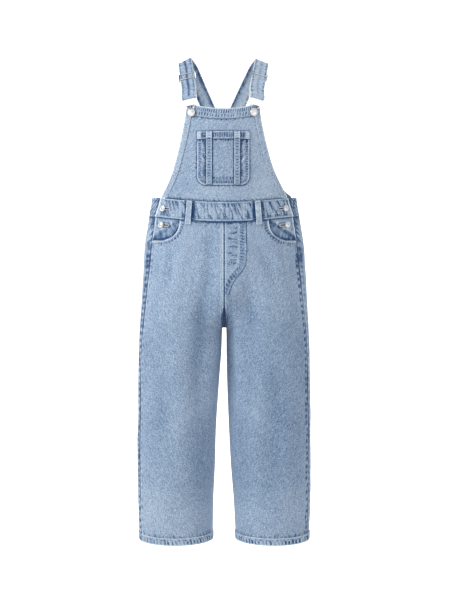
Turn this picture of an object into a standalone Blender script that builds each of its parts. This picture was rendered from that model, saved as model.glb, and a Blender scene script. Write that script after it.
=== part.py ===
"""Denim dungarees for a child of about eight, hollow and filled out as they hang from the shoulders.

The front faces -Y and the wearer's left is +X. The origin is midway between the tops of the two
straps, which is where shoulders carry them. Lengths are metres.
"""
import bpy
import bmesh
from collections import namedtuple
from math import asin, cos, pi, radians, sin, sqrt
from mathutils import Matrix, Vector

MM = 0.001
SIDES = {"right": -1, "left": 1}

# Cloth and seams
CLOTH = 1.3 * MM            # one thickness of denim
BAND_CLOTH = 2.4 * MM       # waistband: two thicknesses and the turned edges
STRAP_CLOTH = 2.2 * MM
SEAM = 0.3 * MM             # gap between pieces that touch
ON_PANEL = SEAM + CLOTH     # outer face of a piece that lies on a panel
BAND_PROUD = 0.8 * MM       # how far the waistband stands out from the panels
LAP = CLOTH + 2 * SEAM      # how deep a piece lies that passes under a panel
UNDERLAP = 3.7 * MM         # how deep the back lies where the front laps over it

# Heights
WAIST = -296.5 * MM         # top of the waistband at the sides
WAIST_DIP = 17 * MM         # how far it dips at the middle of the front
WAIST_RISE = 6 * MM         # and rises at the middle of the back
BAND = 38.5 * MM            # height of the waistband
SCOOP_END = -386 * MM       # where the hip pocket's mouth meets the side seam
FORK = -490 * MM            # where the front and back seams turn under
CROTCH = -567 * MM          # lowest point of the crotch
LEG_START = -420 * MM       # away from the seams the two legs begin to show here
LEG_WHOLE = -640 * MM       # and are round tubes from here down
CROTCH_SHARE = 1 / 2.6      # the part of the way round that follows the crotch seam's curve
HEM = -1008 * MM

# Seams round the body, as angles from the middle of the front (0) to the middle of the back (180)
SIDE_TRUNK = radians(65)
SIDE_LEG = radians(155)     # the same seam on a leg, from the inseam (0) round the front
BAND_END = radians(60)      # top corner of the front waistband
UNDER_SHARE = 0.06          # how far the back goes on under the front, as a share of its way round
TUCK_FROM = 0.84            # and where it starts to go in on a leg panel
BAND_TUCK_FROM = 0.80       # and on the waistband
TUCK_RUN = 0.12
TUCK_BELOW = 45 * MM        # the back lies level again this far below the opening
TUCK_RISE = 35 * MM
UNDER_FADE = 8 * MM         # height over which the part under the front ends

# Bib
BIB_TOP = -114.5 * MM         # at its corners
BIB_SAG = 13 * MM           # the top edge hangs lower in the middle
TOP_HEM = 20.5 * MM
SIDE_HEM = 12 * MM
BACK_TOP = -128 * MM

# Bib pocket
POCKET_TOP = -173.5 * MM
POCKET_FOOT = -279 * MM
POCKET_HALF = 52 * MM
POCKET_CORNER = 17 * MM
POCKET_SHIFT = -2 * MM    # it sits a little toward the wearer's right
POCKET_BAND = 14.5 * MM
STRIP = 11 * MM             # the two stitched strips down the pocket, over its band
STRIP_STEP = 2.5 * MM       # height over which they step down from the band
STRIP_PLACES = {"right": -30 * MM, "left": 25.5 * MM}

# Trim
LEG_HEM = 15 * MM
LOOP_WIDTH = 13 * MM
LOOP_LENGTH = 48 * MM
LOOP_ANGLES = {"right": radians(27.4), "left": radians(26.2)}
LOOP_ARCH = 1.6 * MM        # it stands off the waistband this far between its sewn ends
STRAP_WIDTH = 30 * MM
BIB_BUTTON_RADIUS = 8.2 * MM
SIDE_BUTTON_RADIUS = 7 * MM
SIDE_BUTTON_ANGLE = radians(54)
SIDE_BUTTON_HEIGHTS = {"upper": -322.5 * MM, "lower": -356 * MM}
CLIP_REACH = 31.3 * MM      # from the button to the bar that the strap folds over
ClipPlace = namedtuple("ClipPlace", "button_x button_z lean")
CLIPS = {                   # the two straps hang a little differently, so each clip leans its own way
    "right": ClipPlace(button_x=0.0645, button_z=-0.1350, lean=8.5),
    "left": ClipPlace(button_x=0.0580, button_z=-0.1345, lean=12.0),
}
CLIP_OUT = 5.2 * MM         # clip plate's middle, in front of the bib
FOLD_RADIUS = 3.2 * MM      # strap's middle, round the clip's bar
FOLD_TURN = radians(30)     # the strap leaves the clip leaning back by this much
TURNED_BACK_TOP = -46 * MM  # the strap's end is turned back behind it as far as here
STRAP_LANDING = 3 * MM      # it lies flat on the back from this far above the back's top edge
SLIDERS = {"right": -56 * MM, "left": -53 * MM}  # height of each strap's length adjuster
SLIDER_CHEEK = (1.6 * MM, 17 * MM, 8 * MM)
SLIDER_BAR = 2 * MM
SLIDER_BAR_DEPTH = 1.8 * MM
SLIDER_BAR_REACH = 7.5 * MM # its outer bars lie this far above and below the middle one
SLIDER_PLAY = 0.6 * MM      # beside the strap

# The right half of a clip's plate and of its slot, measured from the bar that the strap folds over
Corner = namedtuple("Corner", "across up")
PLATE_RIM = (Corner(10, -17), Corner(11.5, -16.2), Corner(15.6, -6), Corner(16, 0.6), Corner(15, 1.5))
PLATE_SLOT = (Corner(15.1, -5.2), Corner(15.1, -1.3))
PLATE_THICKNESS = 1.5 * MM
# A wire loop's right end, measured from the button, and the ring that goes round the button's neck
LOOP_END = (Corner(7.6, 17.8), Corner(7.6, 14.5), Corner(4.4, 6.8))
LOOP_RING = 4.1             # millimetres, as the corners are
LOOP_OPEN = radians(40)     # half the angle at which the ring is open to the wires
LOOP_WIRE = 1.0 * MM

# Hip pocket mouths
SCOOP_START = 0.53          # where the mouth leaves the waistband, as a share of the way to the side seam
SCOOP_POWER = 3.0           # squareness of its curve
FACING_START = 0.44         # the cloth in the mouth starts behind the panel here
FACING_BELOW = 4 * MM       # and ends this far below the mouth

# Grids of the leg panels
SCOOP_ROWS = 6
OPENING_ROWS = 3
HIP_ROWS = 4
CROTCH_ROWS = 6
LEG_ROWS = 9
LEG_COLUMNS = 12
SEAM_COLUMN = 0.022         # width of the narrow column of faces along each seam, as a share

# The ring that the cloth follows at each height: half its width, and its depth to front and back
Ring = namedtuple("Ring", "z half_width front back")
TRUNK = (
    Ring(z=-0.110, half_width=0.1480, front=0.088, back=0.092),
    Ring(z=-0.200, half_width=0.1480, front=0.087, back=0.090),
    Ring(z=-0.297, half_width=0.1510, front=0.080, back=0.081),
    Ring(z=-0.338, half_width=0.1575, front=0.081, back=0.085),
    Ring(z=-0.390, half_width=0.1660, front=0.086, back=0.094),
    Ring(z=-0.440, half_width=0.1695, front=0.090, back=0.101),
    Ring(z=-0.490, half_width=0.1735, front=0.092, back=0.103),
    Ring(z=-0.567, half_width=0.1782, front=0.088, back=0.096),
    Ring(z=-0.640, half_width=0.1800, front=0.078, back=0.084),
)

# Each leg: how far its outer side and its inner side lie from the middle, and its depths
Leg = namedtuple("Leg", "z outer inner_right inner_left front back")
LEG = (
    Leg(z=-0.420, outer=0.1680, inner_right=0.0004, inner_left=0.0004, front=0.091, back=0.101),
    Leg(z=-0.490, outer=0.1735, inner_right=0.0010, inner_left=0.0010, front=0.087, back=0.096),
    Leg(z=-0.567, outer=0.1782, inner_right=0.0032, inner_left=0.0030, front=0.080, back=0.087),
    Leg(z=-0.628, outer=0.1797, inner_right=0.0069, inner_left=0.0050, front=0.075, back=0.080),
    Leg(z=-0.678, outer=0.1805, inner_right=0.0110, inner_left=0.0060, front=0.072, back=0.076),
    Leg(z=-0.779, outer=0.1816, inner_right=0.0174, inner_left=0.0099, front=0.068, back=0.071),
    Leg(z=-0.855, outer=0.1815, inner_right=0.0195, inner_left=0.0140, front=0.066, back=0.068),
    Leg(z=-0.930, outer=0.1806, inner_right=0.0230, inner_left=0.0200, front=0.064, back=0.065),
    Leg(z=-1.008, outer=0.1776, inner_right=0.0240, inner_left=0.0242, front=0.063, back=0.063),
)

# Side edges of the bib and of the back bib, whose two sides hang a little differently
Edge = namedtuple("Edge", "z right left")
BIB_EDGE = (
    Edge(z=-0.1145, right=0.0735, left=0.0690),
    Edge(z=-0.1545, right=0.0805, left=0.0755),
    Edge(z=-0.1905, right=0.0880, left=0.0835),
    Edge(z=-0.2380, right=0.1005, left=0.0972),
    Edge(z=-0.2700, right=0.1125, left=0.1120),
    Edge(z=-0.2970, right=0.1272, left=0.1275),
)
BACK_EDGE = (
    Edge(z=-0.128, right=0.040, left=0.032),
    Edge(z=-0.175, right=0.048, left=0.044),
    Edge(z=-0.220, right=0.078, left=0.080),
    Edge(z=-0.260, right=0.106, left=0.114),
    Edge(z=-0.290, right=0.128, left=0.142),
)

# The largest folds: a trough (negative depth) or ridge along a line, seen from the front or back
FOLD_FADE = 1 / 8           # they fade out this near the centre seam and inseam
Fold = namedtuple("Fold", "side face x0 z0 x1 z1 width depth")
FOLDS = (
    Fold("right", "front", x0=-0.030, z0=-0.410, x1=-0.066, z1=-0.700, width=0.016, depth=-0.0045),
    Fold("right", "front", x0=-0.020, z0=-0.530, x1=-0.044, z1=-0.800, width=0.013, depth=0.0030),
    Fold("right", "front", x0=-0.115, z0=-0.430, x1=-0.098, z1=-0.640, width=0.018, depth=-0.0030),
    Fold("left", "front", x0=0.012, z0=-0.520, x1=0.016, z1=-0.760, width=0.008, depth=-0.0035),
    Fold("left", "front", x0=0.026, z0=-0.500, x1=0.036, z1=-0.780, width=0.011, depth=0.0035),
    Fold("left", "front", x0=0.050, z0=-0.430, x1=0.092, z1=-0.560, width=0.014, depth=-0.0030),
    Fold("right", "back", x0=-0.020, z0=-0.520, x1=-0.110, z1=-0.610, width=0.014, depth=-0.0050),
    Fold("right", "back", x0=-0.060, z0=-0.600, x1=-0.078, z1=-0.820, width=0.018, depth=-0.0040),
    Fold("left", "back", x0=0.022, z0=-0.530, x1=0.118, z1=-0.600, width=0.013, depth=-0.0045),
    Fold("left", "back", x0=0.070, z0=-0.620, x1=0.062, z1=-0.860, width=0.019, depth=-0.0040),
)

# Each strap from the clip over the shoulder to the back, with x measured outward from the middle. The
# tilt is how steeply its width slopes, inner edge up; the turn is how far its outer edge swings back.
Way = namedtuple("Way", "x y z tilt turn")
STRAP_WAYS = {
    "right": (
        Way(x=0.0715, y=-0.0745, z=-0.0855, tilt=9, turn=14),
        Way(x=0.0750, y=-0.0575, z=-0.0605, tilt=9, turn=12),
        Way(x=0.0787, y=-0.0380, z=-0.0350, tilt=13, turn=8),
        Way(x=0.0815, y=-0.0190, z=-0.0158, tilt=23, turn=3),
        Way(x=0.0825, y=0.0020, z=-0.0085, tilt=30, turn=0),
        Way(x=0.0775, y=0.0220, z=-0.0102, tilt=29, turn=0),
        Way(x=0.0707, y=0.0400, z=-0.0165, tilt=27, turn=0),
        Way(x=0.0619, y=0.0620, z=-0.0322, tilt=24, turn=0),
        Way(x=0.0531, y=0.0780, z=-0.0495, tilt=23, turn=2),
        Way(x=0.0437, y=0.0880, z=-0.0690, tilt=23, turn=3),
        Way(x=0.0365, y=0.0925, z=-0.0840, tilt=22, turn=4),
        Way(x=0.0280, y=0.0945, z=-0.1030, tilt=17, turn=4),
        Way(x=0.0226, y=0.0945, z=-0.1180, tilt=7, turn=4),
        Way(x=0.0217, y=0.0940, z=-0.1330, tilt=0, turn=4),
        Way(x=0.0215, y=0.0940, z=-0.1580, tilt=0, turn=4),
    ),
    "left": (
        Way(x=0.0660, y=-0.0745, z=-0.0855, tilt=13, turn=4),
        Way(x=0.0702, y=-0.0575, z=-0.0605, tilt=15, turn=3),
        Way(x=0.0744, y=-0.0380, z=-0.0350, tilt=17, turn=2),
        Way(x=0.0775, y=-0.0190, z=-0.0165, tilt=20, turn=0),
        Way(x=0.0785, y=0.0020, z=-0.0095, tilt=23, turn=0),
        Way(x=0.0738, y=0.0220, z=-0.0108, tilt=24, turn=0),
        Way(x=0.0667, y=0.0400, z=-0.0170, tilt=24, turn=0),
        Way(x=0.0569, y=0.0620, z=-0.0325, tilt=23, turn=0),
        Way(x=0.0471, y=0.0780, z=-0.0495, tilt=23, turn=2),
        Way(x=0.0370, y=0.0880, z=-0.0690, tilt=23, turn=3),
        Way(x=0.0295, y=0.0925, z=-0.0840, tilt=22, turn=4),
        Way(x=0.0204, y=0.0945, z=-0.1030, tilt=16, turn=4),
        Way(x=0.0143, y=0.0945, z=-0.1180, tilt=7, turn=4),
        Way(x=0.0127, y=0.0940, z=-0.1330, tilt=0, turn=4),
        Way(x=0.0125, y=0.0940, z=-0.1580, tilt=0, turn=4),
    ),
}


def smooth(share):
    """0 below 0, 1 above 1 and an easy curve between."""
    share = min(max(share, 0.0), 1.0)
    return share * share * (3 - 2 * share)


def bend(start, end, slope0, slope1, share):
    """A smooth curve's value between two points, from its slopes there over the whole step."""
    rest = 1 - share
    return (start * (1 + 2 * share) * rest ** 2 + slope0 * share * rest ** 2
            + end * share ** 2 * (3 - 2 * share) - slope1 * share ** 2 * rest)


def read(table, column, z):
    """A column's value at a height, by a smooth curve through the rows, which run downward."""
    z = min(max(z, table[-1].z), table[0].z)
    k = next(i for i in range(len(table) - 1) if z >= table[i + 1].z)
    before = table[max(k - 1, 0)]
    start = table[k]
    end = table[k + 1]
    after = table[min(k + 2, len(table) - 1)]
    step = end.z - start.z
    slope0 = (getattr(end, column) - getattr(before, column)) / (end.z - before.z) * step
    slope1 = (getattr(after, column) - getattr(start, column)) / (after.z - start.z) * step
    return bend(getattr(start, column), getattr(end, column), slope0, slope1, (z - start.z) / step)


def trunk(side, z, angle, out=0.0):
    """A point on the body's ring, moved out along the ring's normal."""
    half = read(TRUNK, "half_width", z)
    depth = read(TRUNK, "front" if cos(angle) > 0 else "back", z)
    normal = Vector((side * sin(angle) / half, -cos(angle) / depth, 0)).normalized()
    return Vector((side * half * sin(angle), -depth * cos(angle), z)) + out * normal


def angle_at(z, x):
    """The angle from the middle of the front at which the body's ring is x wide."""
    return asin(min(abs(x) / read(TRUNK, "half_width", z), 1.0))


def leg(side, z, angle, out=0.0):
    """A point on a leg's ring: angle 0 at the inseam, 90 in front, 180 outside, 270 behind."""
    outer = read(LEG, "outer", z)
    inner = read(LEG, "inner_left" if side > 0 else "inner_right", z)
    half = (outer - inner) / 2
    depth = read(LEG, "front" if sin(angle) > 0 else "back", z)
    normal = Vector((-side * cos(angle) / half, -sin(angle) / depth, 0)).normalized()
    middle = Vector((side * (outer + inner) / 2, 0, z))
    return middle + Vector((-side * half * cos(angle), -depth * sin(angle), 0)) + out * normal


def waist_shift(angle):
    """How far the waist lies above its height at the sides."""
    swing = cos(angle) ** 2
    return -WAIST_DIP * swing if cos(angle) > 0 else WAIST_RISE * swing


def fold_depth(side, face, x, z):
    """How far the folds move the cloth out at a place."""
    total = 0.0
    for fold in FOLDS:
        if SIDES[fold.side] != side or fold.face != face:
            continue
        run = Vector((fold.x1 - fold.x0, fold.z1 - fold.z0))
        here = Vector((x - fold.x0, z - fold.z0))
        along = here.dot(run) / run.length_squared
        if 0 < along < 1:
            across = (here - along * run).length / fold.width
            total += fold.depth * sin(pi * along) * 2.718 ** (-across * across)
    return total


def tuck(z, around):
    """How far a back piece goes in near the side opening, where the front laps over it."""
    return smooth((around - TUCK_FROM) / TUCK_RUN) * smooth((z - SCOOP_END + TUCK_BELOW) / TUCK_RISE)


def share_of_leg(z, around):
    """How far a place has gone over from the body's ring to the leg's. At the centre seam it follows
    the crotch's curve, a quarter of an ellipse, and away from it the change is slow."""
    down = min(max((FORK - z) / (FORK - CROTCH), 0.0), 1.0)
    at_seam = 1 - sqrt(1 - down * down)
    beside = smooth((LEG_START - z) / (LEG_START - LEG_WHOLE))
    return at_seam + (beside - at_seam) * smooth(around / CROTCH_SHARE)


def panel(side, face, z, around, out=0.0):
    """A point on a leg panel: around is 0 at the centre seam and inseam, 1 at the side seam."""
    if face == "front":
        trunk_angle = SIDE_TRUNK * around
        leg_angle = SIDE_LEG * around
    else:
        trunk_angle = pi - (pi - SIDE_TRUNK) * around
        leg_angle = 2 * pi - (2 * pi - SIDE_LEG) * around
    leg_share = share_of_leg(z, around)
    drop = waist_shift(trunk_angle) * smooth((z - FORK) / (WAIST - BAND - FORK))
    x = trunk(side, z, trunk_angle).lerp(leg(side, z, leg_angle), leg_share).x
    out += min(around / FOLD_FADE, 1.0) * fold_depth(side, face, x, z)
    if face == "back":
        out -= tuck(z, around) * UNDERLAP
    point = trunk(side, z, trunk_angle, out).lerp(leg(side, z, leg_angle, out), leg_share)
    point.z += drop
    return point


def near_edges(share, count, edge):
    """Moves the first and last inner columns of a grid close to its edges."""
    step = 1.0 / count
    if share < 1.5 * step:
        return share / step * edge if share < 1.01 * step else edge
    if share > 1 - 1.5 * step:
        return 1 - (1 - share) / step * edge
    return edge + (share - step) / (1 - 2 * step) * (1 - 2 * edge)


def material(name, colour, roughness, metallic=0.0):
    made = bpy.data.materials.new(name)
    made.use_nodes = True
    shader = made.node_tree.nodes["Principled BSDF"]
    shader.inputs["Base Color"].default_value = (*colour, 1.0)
    shader.inputs["Roughness"].default_value = roughness
    shader.inputs["Metallic"].default_value = metallic
    return made


def add_mesh(name, bm, finish):
    mesh = bpy.data.meshes.new(name)
    bm.to_mesh(mesh)
    bm.free()
    mesh.materials.append(finish)
    made = bpy.data.objects.new(name, mesh)
    PARTS.objects.link(made)
    return made


def from_body_axis(place):
    """Outward at a place on the trunk, to tell a sheet's outer face."""
    return Vector((place.x, place.y, 0))


def from_leg_axis(side):
    """The same on a leg."""
    return lambda place: Vector((place.x - side * 90 * MM, place.y, 0))


def sheet(name, place, across, down, finish, thickness=CLOTH, offset=-1.0, outward=from_body_axis):
    """A grid bent onto a surface by place(u, v), v running down it, with a wall behind it."""
    bm = bmesh.new()
    bmesh.ops.create_grid(bm, x_segments=across, y_segments=down, size=0.5)
    for vert in bm.verts:
        vert.co = place(vert.co.x + 0.5, 0.5 - vert.co.y)
    bm.normal_update()
    leaning_out = sum(face.normal.dot(outward(face.calc_center_median())) for face in bm.faces)
    if leaning_out < 0:
        bmesh.ops.reverse_faces(bm, faces=bm.faces)
    made = add_mesh(name, bm, finish)
    made.data.shade_smooth()
    wall = made.modifiers.new("wall", "SOLIDIFY")
    wall.thickness = thickness
    wall.offset = offset
    return made


def leg_height(row):
    """The height of a leg panel's row below the pocket mouth. Rows draw together at the crotch."""
    if row <= HIP_ROWS:
        return SCOOP_END + (FORK - SCOOP_END) * row / HIP_ROWS
    row -= HIP_ROWS
    if row <= CROTCH_ROWS:
        return FORK + (CROTCH - FORK) * sin(pi / 2 * row / CROTCH_ROWS)
    return CROTCH + (HEM - CROTCH) * (row - CROTCH_ROWS) / LEG_ROWS


def front_leg(name, side, finish):
    top = WAIST - BAND - SEAM
    rows = SCOOP_ROWS + HIP_ROWS + CROTCH_ROWS + LEG_ROWS

    def place(u, v):
        row = round(v * rows)
        end = 1.0
        if row <= SCOOP_ROWS:
            turn = pi / 2 * row / SCOOP_ROWS
            z = top + (SCOOP_END - top) * sin(turn) ** (2 / SCOOP_POWER)
            end = SCOOP_START + (1 - SCOOP_START) * (1 - max(cos(turn), 0.0) ** (2 / SCOOP_POWER))
        else:
            z = leg_height(row - SCOOP_ROWS)
        around = near_edges(u, LEG_COLUMNS, SEAM_COLUMN) * end
        return seam_gap(side, panel(side, "front", z, around), u, "front")

    return sheet(name, place, LEG_COLUMNS, rows, finish, outward=from_leg_axis(side))


def seam_gap(side, point, share, face):
    """Draws a panel's edges back from its seams, so that the two panels stay apart."""
    if share < 0.001:
        depth = 1 - smooth((FORK - point.z) / (FORK - CROTCH))
        point.x += side * SEAM * depth
        point.y += (-SEAM if face == "front" else SEAM) * (1 - depth)
    if share > 0.999:
        point.y += -SEAM if face == "front" else SEAM
    return point


def back_leg(name, side, finish):
    top = WAIST - BAND - SEAM
    rows = OPENING_ROWS + HIP_ROWS + CROTCH_ROWS + LEG_ROWS

    def place(u, v):
        row = round(v * rows)
        if row <= OPENING_ROWS:
            z = top + (SCOOP_END - top) * row / OPENING_ROWS
        else:
            z = leg_height(row - OPENING_ROWS)
        under = 1 + UNDER_SHARE * smooth((z - SCOOP_END + UNDER_FADE / 4) / UNDER_FADE)
        around = near_edges(u, LEG_COLUMNS, SEAM_COLUMN) * under
        return seam_gap(side, panel(side, "back", z, around), u, "back")

    return sheet(name, place, LEG_COLUMNS, rows, finish, outward=from_leg_axis(side))


def pocket_facing(name, side, finish):
    """The cloth seen in the mouth of a hip pocket, which also carries the side opening's button."""
    top = WAIST - BAND - SEAM
    foot = SCOOP_END - FACING_BELOW

    def place(u, v):
        around = FACING_START + (1 - FACING_START) * u
        return panel(side, "front", top + (foot - top) * v, around, -LAP)

    return sheet(name, place, 7, 6, finish)


def hem_band(name, side, face, finish):
    """The turned-up hem of a leg, which lies on its panel."""
    def place(u, v):
        z = HEM + LEG_HEM * (1 - v)
        around = near_edges(u, LEG_COLUMNS, SEAM_COLUMN)
        return seam_gap(side, panel(side, face, z, around, ON_PANEL), u, face)

    return sheet(name, place, LEG_COLUMNS, 1, finish, outward=from_leg_axis(side))


def front_waistband(name, finish):
    def place(u, v):
        end = BAND_END + (SIDE_TRUNK - BAND_END) * v
        angle = (2 * u - 1) * end
        point = trunk(1, WAIST - BAND * v, angle, BAND_PROUD)
        point.z += waist_shift(angle)
        return point

    return sheet(name, place, 18, 2, finish, BAND_CLOTH)


def back_waistband(name, finish):
    def place(u, v):
        around = abs(2 * u - 1)
        side = 1 if u > 0.5 else -1
        angle = pi - (pi - SIDE_TRUNK) * (1 + UNDER_SHARE) * around
        out = BAND_PROUD - UNDERLAP * smooth((around - BAND_TUCK_FROM) / TUCK_RUN)
        point = trunk(side, WAIST - BAND * v, angle, out)
        point.z += waist_shift(angle)
        return point

    return sheet(name, place, 26, 2, finish, BAND_CLOTH)


def bib_point(x, z, out=0.0):
    """A point on the front of the body's ring, by how far it lies from the middle."""
    return trunk(-1 if x < 0 else 1, z, angle_at(z, x), out)


def bib_edge(z, side):
    return side * read(BIB_EDGE, "left" if side > 0 else "right", z)


def bib_top(x):
    """The height of the bib's top edge, which hangs lower in the middle."""
    share = x / bib_edge(BIB_TOP, 1)
    return BIB_TOP - BIB_SAG * (1 - share * share)


def bib_front(name, finish):
    def place(u, v):
        side = 1 if u > 0.5 else -1
        share = abs(2 * u - 1)
        top = bib_top(share * bib_edge(BIB_TOP, 1))
        foot = WAIST + waist_shift(share * BAND_END) + SEAM
        z = top + (foot - top) * v
        return bib_point(share * bib_edge(z, side), z)

    return sheet(name, place, 12, 10, finish)


def bib_top_hem(name, finish):
    def place(u, v):
        side = 1 if u > 0.5 else -1
        share = abs(2 * u - 1)
        z = bib_top(share * bib_edge(BIB_TOP, 1)) - TOP_HEM * v
        return bib_point(share * bib_edge(z, side), z, ON_PANEL)

    return sheet(name, place, 12, 1, finish)


def bib_side_hem(name, side, finish):
    def place(u, v):
        top = bib_top(bib_edge(BIB_TOP, 1) - SIDE_HEM * (1 - u)) - TOP_HEM - SEAM
        foot = WAIST + waist_shift(BAND_END) + SEAM + 2 * MM
        z = top + (foot - top) * v
        edge = bib_edge(z, side)
        return bib_point(edge - side * SIDE_HEM * (1 - u), z, ON_PANEL)

    return sheet(name, place, 1, 9, finish)


def pocket_half(z):
    """Half the pocket's width, which rounds in at its bottom corners."""
    into = max(POCKET_FOOT + POCKET_CORNER - z, 0.0)
    return POCKET_HALF - POCKET_CORNER + sqrt(max(POCKET_CORNER ** 2 - into ** 2, 0.0))


def bib_pocket(name, finish):
    straight = 5
    corner = 4

    def place(u, v):
        row = round(v * (straight + corner))
        if row <= straight:
            z = POCKET_TOP + (POCKET_FOOT + POCKET_CORNER - POCKET_TOP) * row / straight
        else:
            z = POCKET_FOOT + POCKET_CORNER * (1 - sin(pi / 2 * (row - straight) / corner))
        return bib_point(POCKET_SHIFT + (2 * u - 1) * pocket_half(z), z, ON_PANEL)

    return sheet(name, place, 8, straight + corner, finish)


def pocket_band(name, finish):
    def place(u, v):
        return bib_point(POCKET_SHIFT + (2 * u - 1) * POCKET_HALF, POCKET_TOP - POCKET_BAND * v, 2 * ON_PANEL)

    return sheet(name, place, 8, 1, finish)


def pocket_strip(name, middle, finish):
    """A strip down the pocket, which lies on the band and then on the pocket."""
    below = POCKET_TOP - POCKET_BAND - SEAM
    heights = [POCKET_TOP, below, below - STRIP_STEP]
    foot = POCKET_FOOT + SEAM
    heights += [heights[-1] + (foot - heights[-1]) * k / 5 for k in range(1, 6)]

    def place(u, v):
        row = round(v * (len(heights) - 1))
        layers = 3 if row < 2 else 2
        return bib_point(middle + (u - 0.5) * STRIP, heights[row], layers * ON_PANEL)

    return sheet(name, place, 1, len(heights) - 1, finish)


def back_bib(name, finish):
    def place(u, v):
        side = 1 if u > 0.5 else -1
        share = abs(2 * u - 1)
        column = "left" if side > 0 else "right"
        foot = WAIST + SEAM
        z = BACK_TOP + (foot - BACK_TOP) * v
        edge = read(BACK_EDGE, column, z) * share
        angle = pi - angle_at(z, edge)
        point = trunk(side, z, angle)
        point.z += waist_shift(angle) * v
        return point

    return sheet(name, place, 12, 10, finish)


def belt_loop(name, side, middle, finish):
    """A loop over the waistband, standing off it a little between its sewn ends."""
    half = LOOP_WIDTH / 2 / read(TRUNK, "half_width", WAIST - BAND / 2)

    def place(u, v):
        angle = middle + (2 * u - 1) * half
        arch = LOOP_ARCH * sin(pi * v)
        point = trunk(side, WAIST - LOOP_LENGTH * v, angle, BAND_PROUD + ON_PANEL + arch)
        point.z += waist_shift(angle)
        return point

    return sheet(name, place, 3, 6, finish)


def word_for(side):
    return "left" if side > 0 else "right"


def clip_frame(side):
    """Axes at a bib button: across the clip toward the wearer's side, up it and out of it, and the
    button's place on the bib."""
    place = CLIPS[word_for(side)]
    lean = radians(place.lean)
    angle = angle_at(place.button_z, place.button_x)
    seat = trunk(side, place.button_z, angle)
    out = trunk(side, place.button_z, angle, 1.0) - seat
    outside = Vector((0, 0, 1)).cross(out) * side
    up = Vector((0, 0, 1)) * cos(lean) + outside * sin(lean)
    across = outside * cos(lean) - Vector((0, 0, 1)) * sin(lean)
    return across, up, out, seat


def strap_layers(side):
    """A strap's middle line as (place, width direction) pairs: the layer turned back behind, up to
    the fold, the fold round the clip's bar, and the layer from there over the shoulder."""
    across, up, out, seat = clip_frame(side)
    bar = seat + up * CLIP_REACH + out * CLIP_OUT
    fold = []
    for k in range(7):
        angle = FOLD_TURN - pi + pi * k / 6
        fold.append((bar + FOLD_RADIUS * (out * cos(angle) + up * sin(angle)), across))
    chain = [fold.pop()]
    for way in STRAP_WAYS[word_for(side)]:
        tilt = radians(way.tilt)
        turn = radians(way.turn)
        width = Vector((side * cos(tilt) * cos(turn), sin(turn), -sin(tilt)))
        chain.append((Vector((side * way.x, way.y, way.z)), width.normalized()))
    line = []
    for k in range(len(chain) - 1):
        before = chain[max(k - 1, 0)]
        start = chain[k]
        end = chain[k + 1]
        after = chain[min(k + 2, len(chain) - 1)]
        for share in (0.0, 0.5):
            entry = [bend(start[i], end[i], (end[i] - before[i]) / 2, (after[i] - start[i]) / 2, share)
                     for i in (0, 1)]
            line.append((entry[0], entry[1].normalized()))
    line.append(chain[-1])
    turned_back = []
    for k in range(1, len(line) - 1):
        place, width = line[k]
        if place.z > TURNED_BACK_TOP:
            break
        inward = strap_normal(line, k) * -2 * FOLD_RADIUS
        turned_back.insert(0, (place + inward, width))
    return turned_back, fold, line


def strap_normal(line, k):
    """The direction out of a strap's outer face at a place on its line."""
    along = line[k + 1][0] - line[k - 1][0]
    normal = line[k][1].cross(along).normalized()
    return normal if normal.y < 0 else -normal


def strap(name, side, finish):
    turned_back, fold, line = strap_layers(side)
    points = turned_back + fold + line

    def place(u, v):
        middle, width = points[round(v * (len(points) - 1))]
        point = middle + width * (2 * u - 1) * STRAP_WIDTH / 2
        if point.y > 0 and middle.z < BACK_TOP + STRAP_LANDING:
            point.y = trunk(side, point.z, pi - angle_at(point.z, point.x), SEAM + STRAP_CLOTH / 2).y
        return point

    return sheet(name, place, 2, len(points) - 1, finish, STRAP_CLOTH, offset=0.0)


def turned(name, profile, seat, out, finish, steps=20):
    """A turned piece whose axis stands on a surface; the profile is (radius, height) from the top."""
    mesh = bpy.data.meshes.new(name)
    mesh.from_pydata([(radius, 0, height) for radius, height in profile],
                     [(k, k + 1) for k in range(len(profile) - 1)], [])
    mesh.materials.append(finish)
    made = bpy.data.objects.new(name, mesh)
    PARTS.objects.link(made)
    made.location = seat
    made.rotation_mode = "QUATERNION"
    made.rotation_quaternion = out.to_track_quat("Z", "Y")
    screw = made.modifiers.new("turn", "SCREW")
    screw.axis = "Z"
    screw.steps = screw.render_steps = steps
    screw.use_merge_vertices = True
    screw.merge_threshold = 0.01 * MM
    screw.use_normal_calculate = True
    return made


def dome(radius, rise, neck, stand):
    """The profile of a domed button on a neck, from the top of the dome down to the neck's foot."""
    rim = 0.9 * MM
    top = stand + rim + rise
    bow = [(radius * 0.98 * sin(pi / 2 * k / 4), top - rise * (1 - cos(pi / 2 * k / 4))) for k in range(5)]
    return bow + [(radius, stand + rim * 0.5), (radius * 0.95, stand), (neck, stand), (neck, 0), (0, 0)]


def buttons(finish):
    for word, side in SIDES.items():
        across, up, out, seat = clip_frame(side)
        foot = seat + out * (ON_PANEL + SEAM)
        profile = dome(BIB_BUTTON_RADIUS, rise=2.6 * MM, neck=2.6 * MM, stand=2.9 * MM)
        turned(f"bib_button_{word}", profile, foot, out, finish)
        profile = dome(SIDE_BUTTON_RADIUS, rise=2.0 * MM, neck=2.2 * MM, stand=1.2 * MM)
        for place, z in SIDE_BUTTON_HEIGHTS.items():
            lift = BAND_PROUD if place == "upper" else -LAP
            level = z - waist_shift(SIDE_BUTTON_ANGLE)
            foot = trunk(side, level, SIDE_BUTTON_ANGLE, lift + SEAM)
            foot.z = z
            out = trunk(side, level, SIDE_BUTTON_ANGLE, 1.0) - trunk(side, level, SIDE_BUTTON_ANGLE)
            turned(f"side_button_{place}_{word}", profile, foot, out.normalized(), finish)


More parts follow.
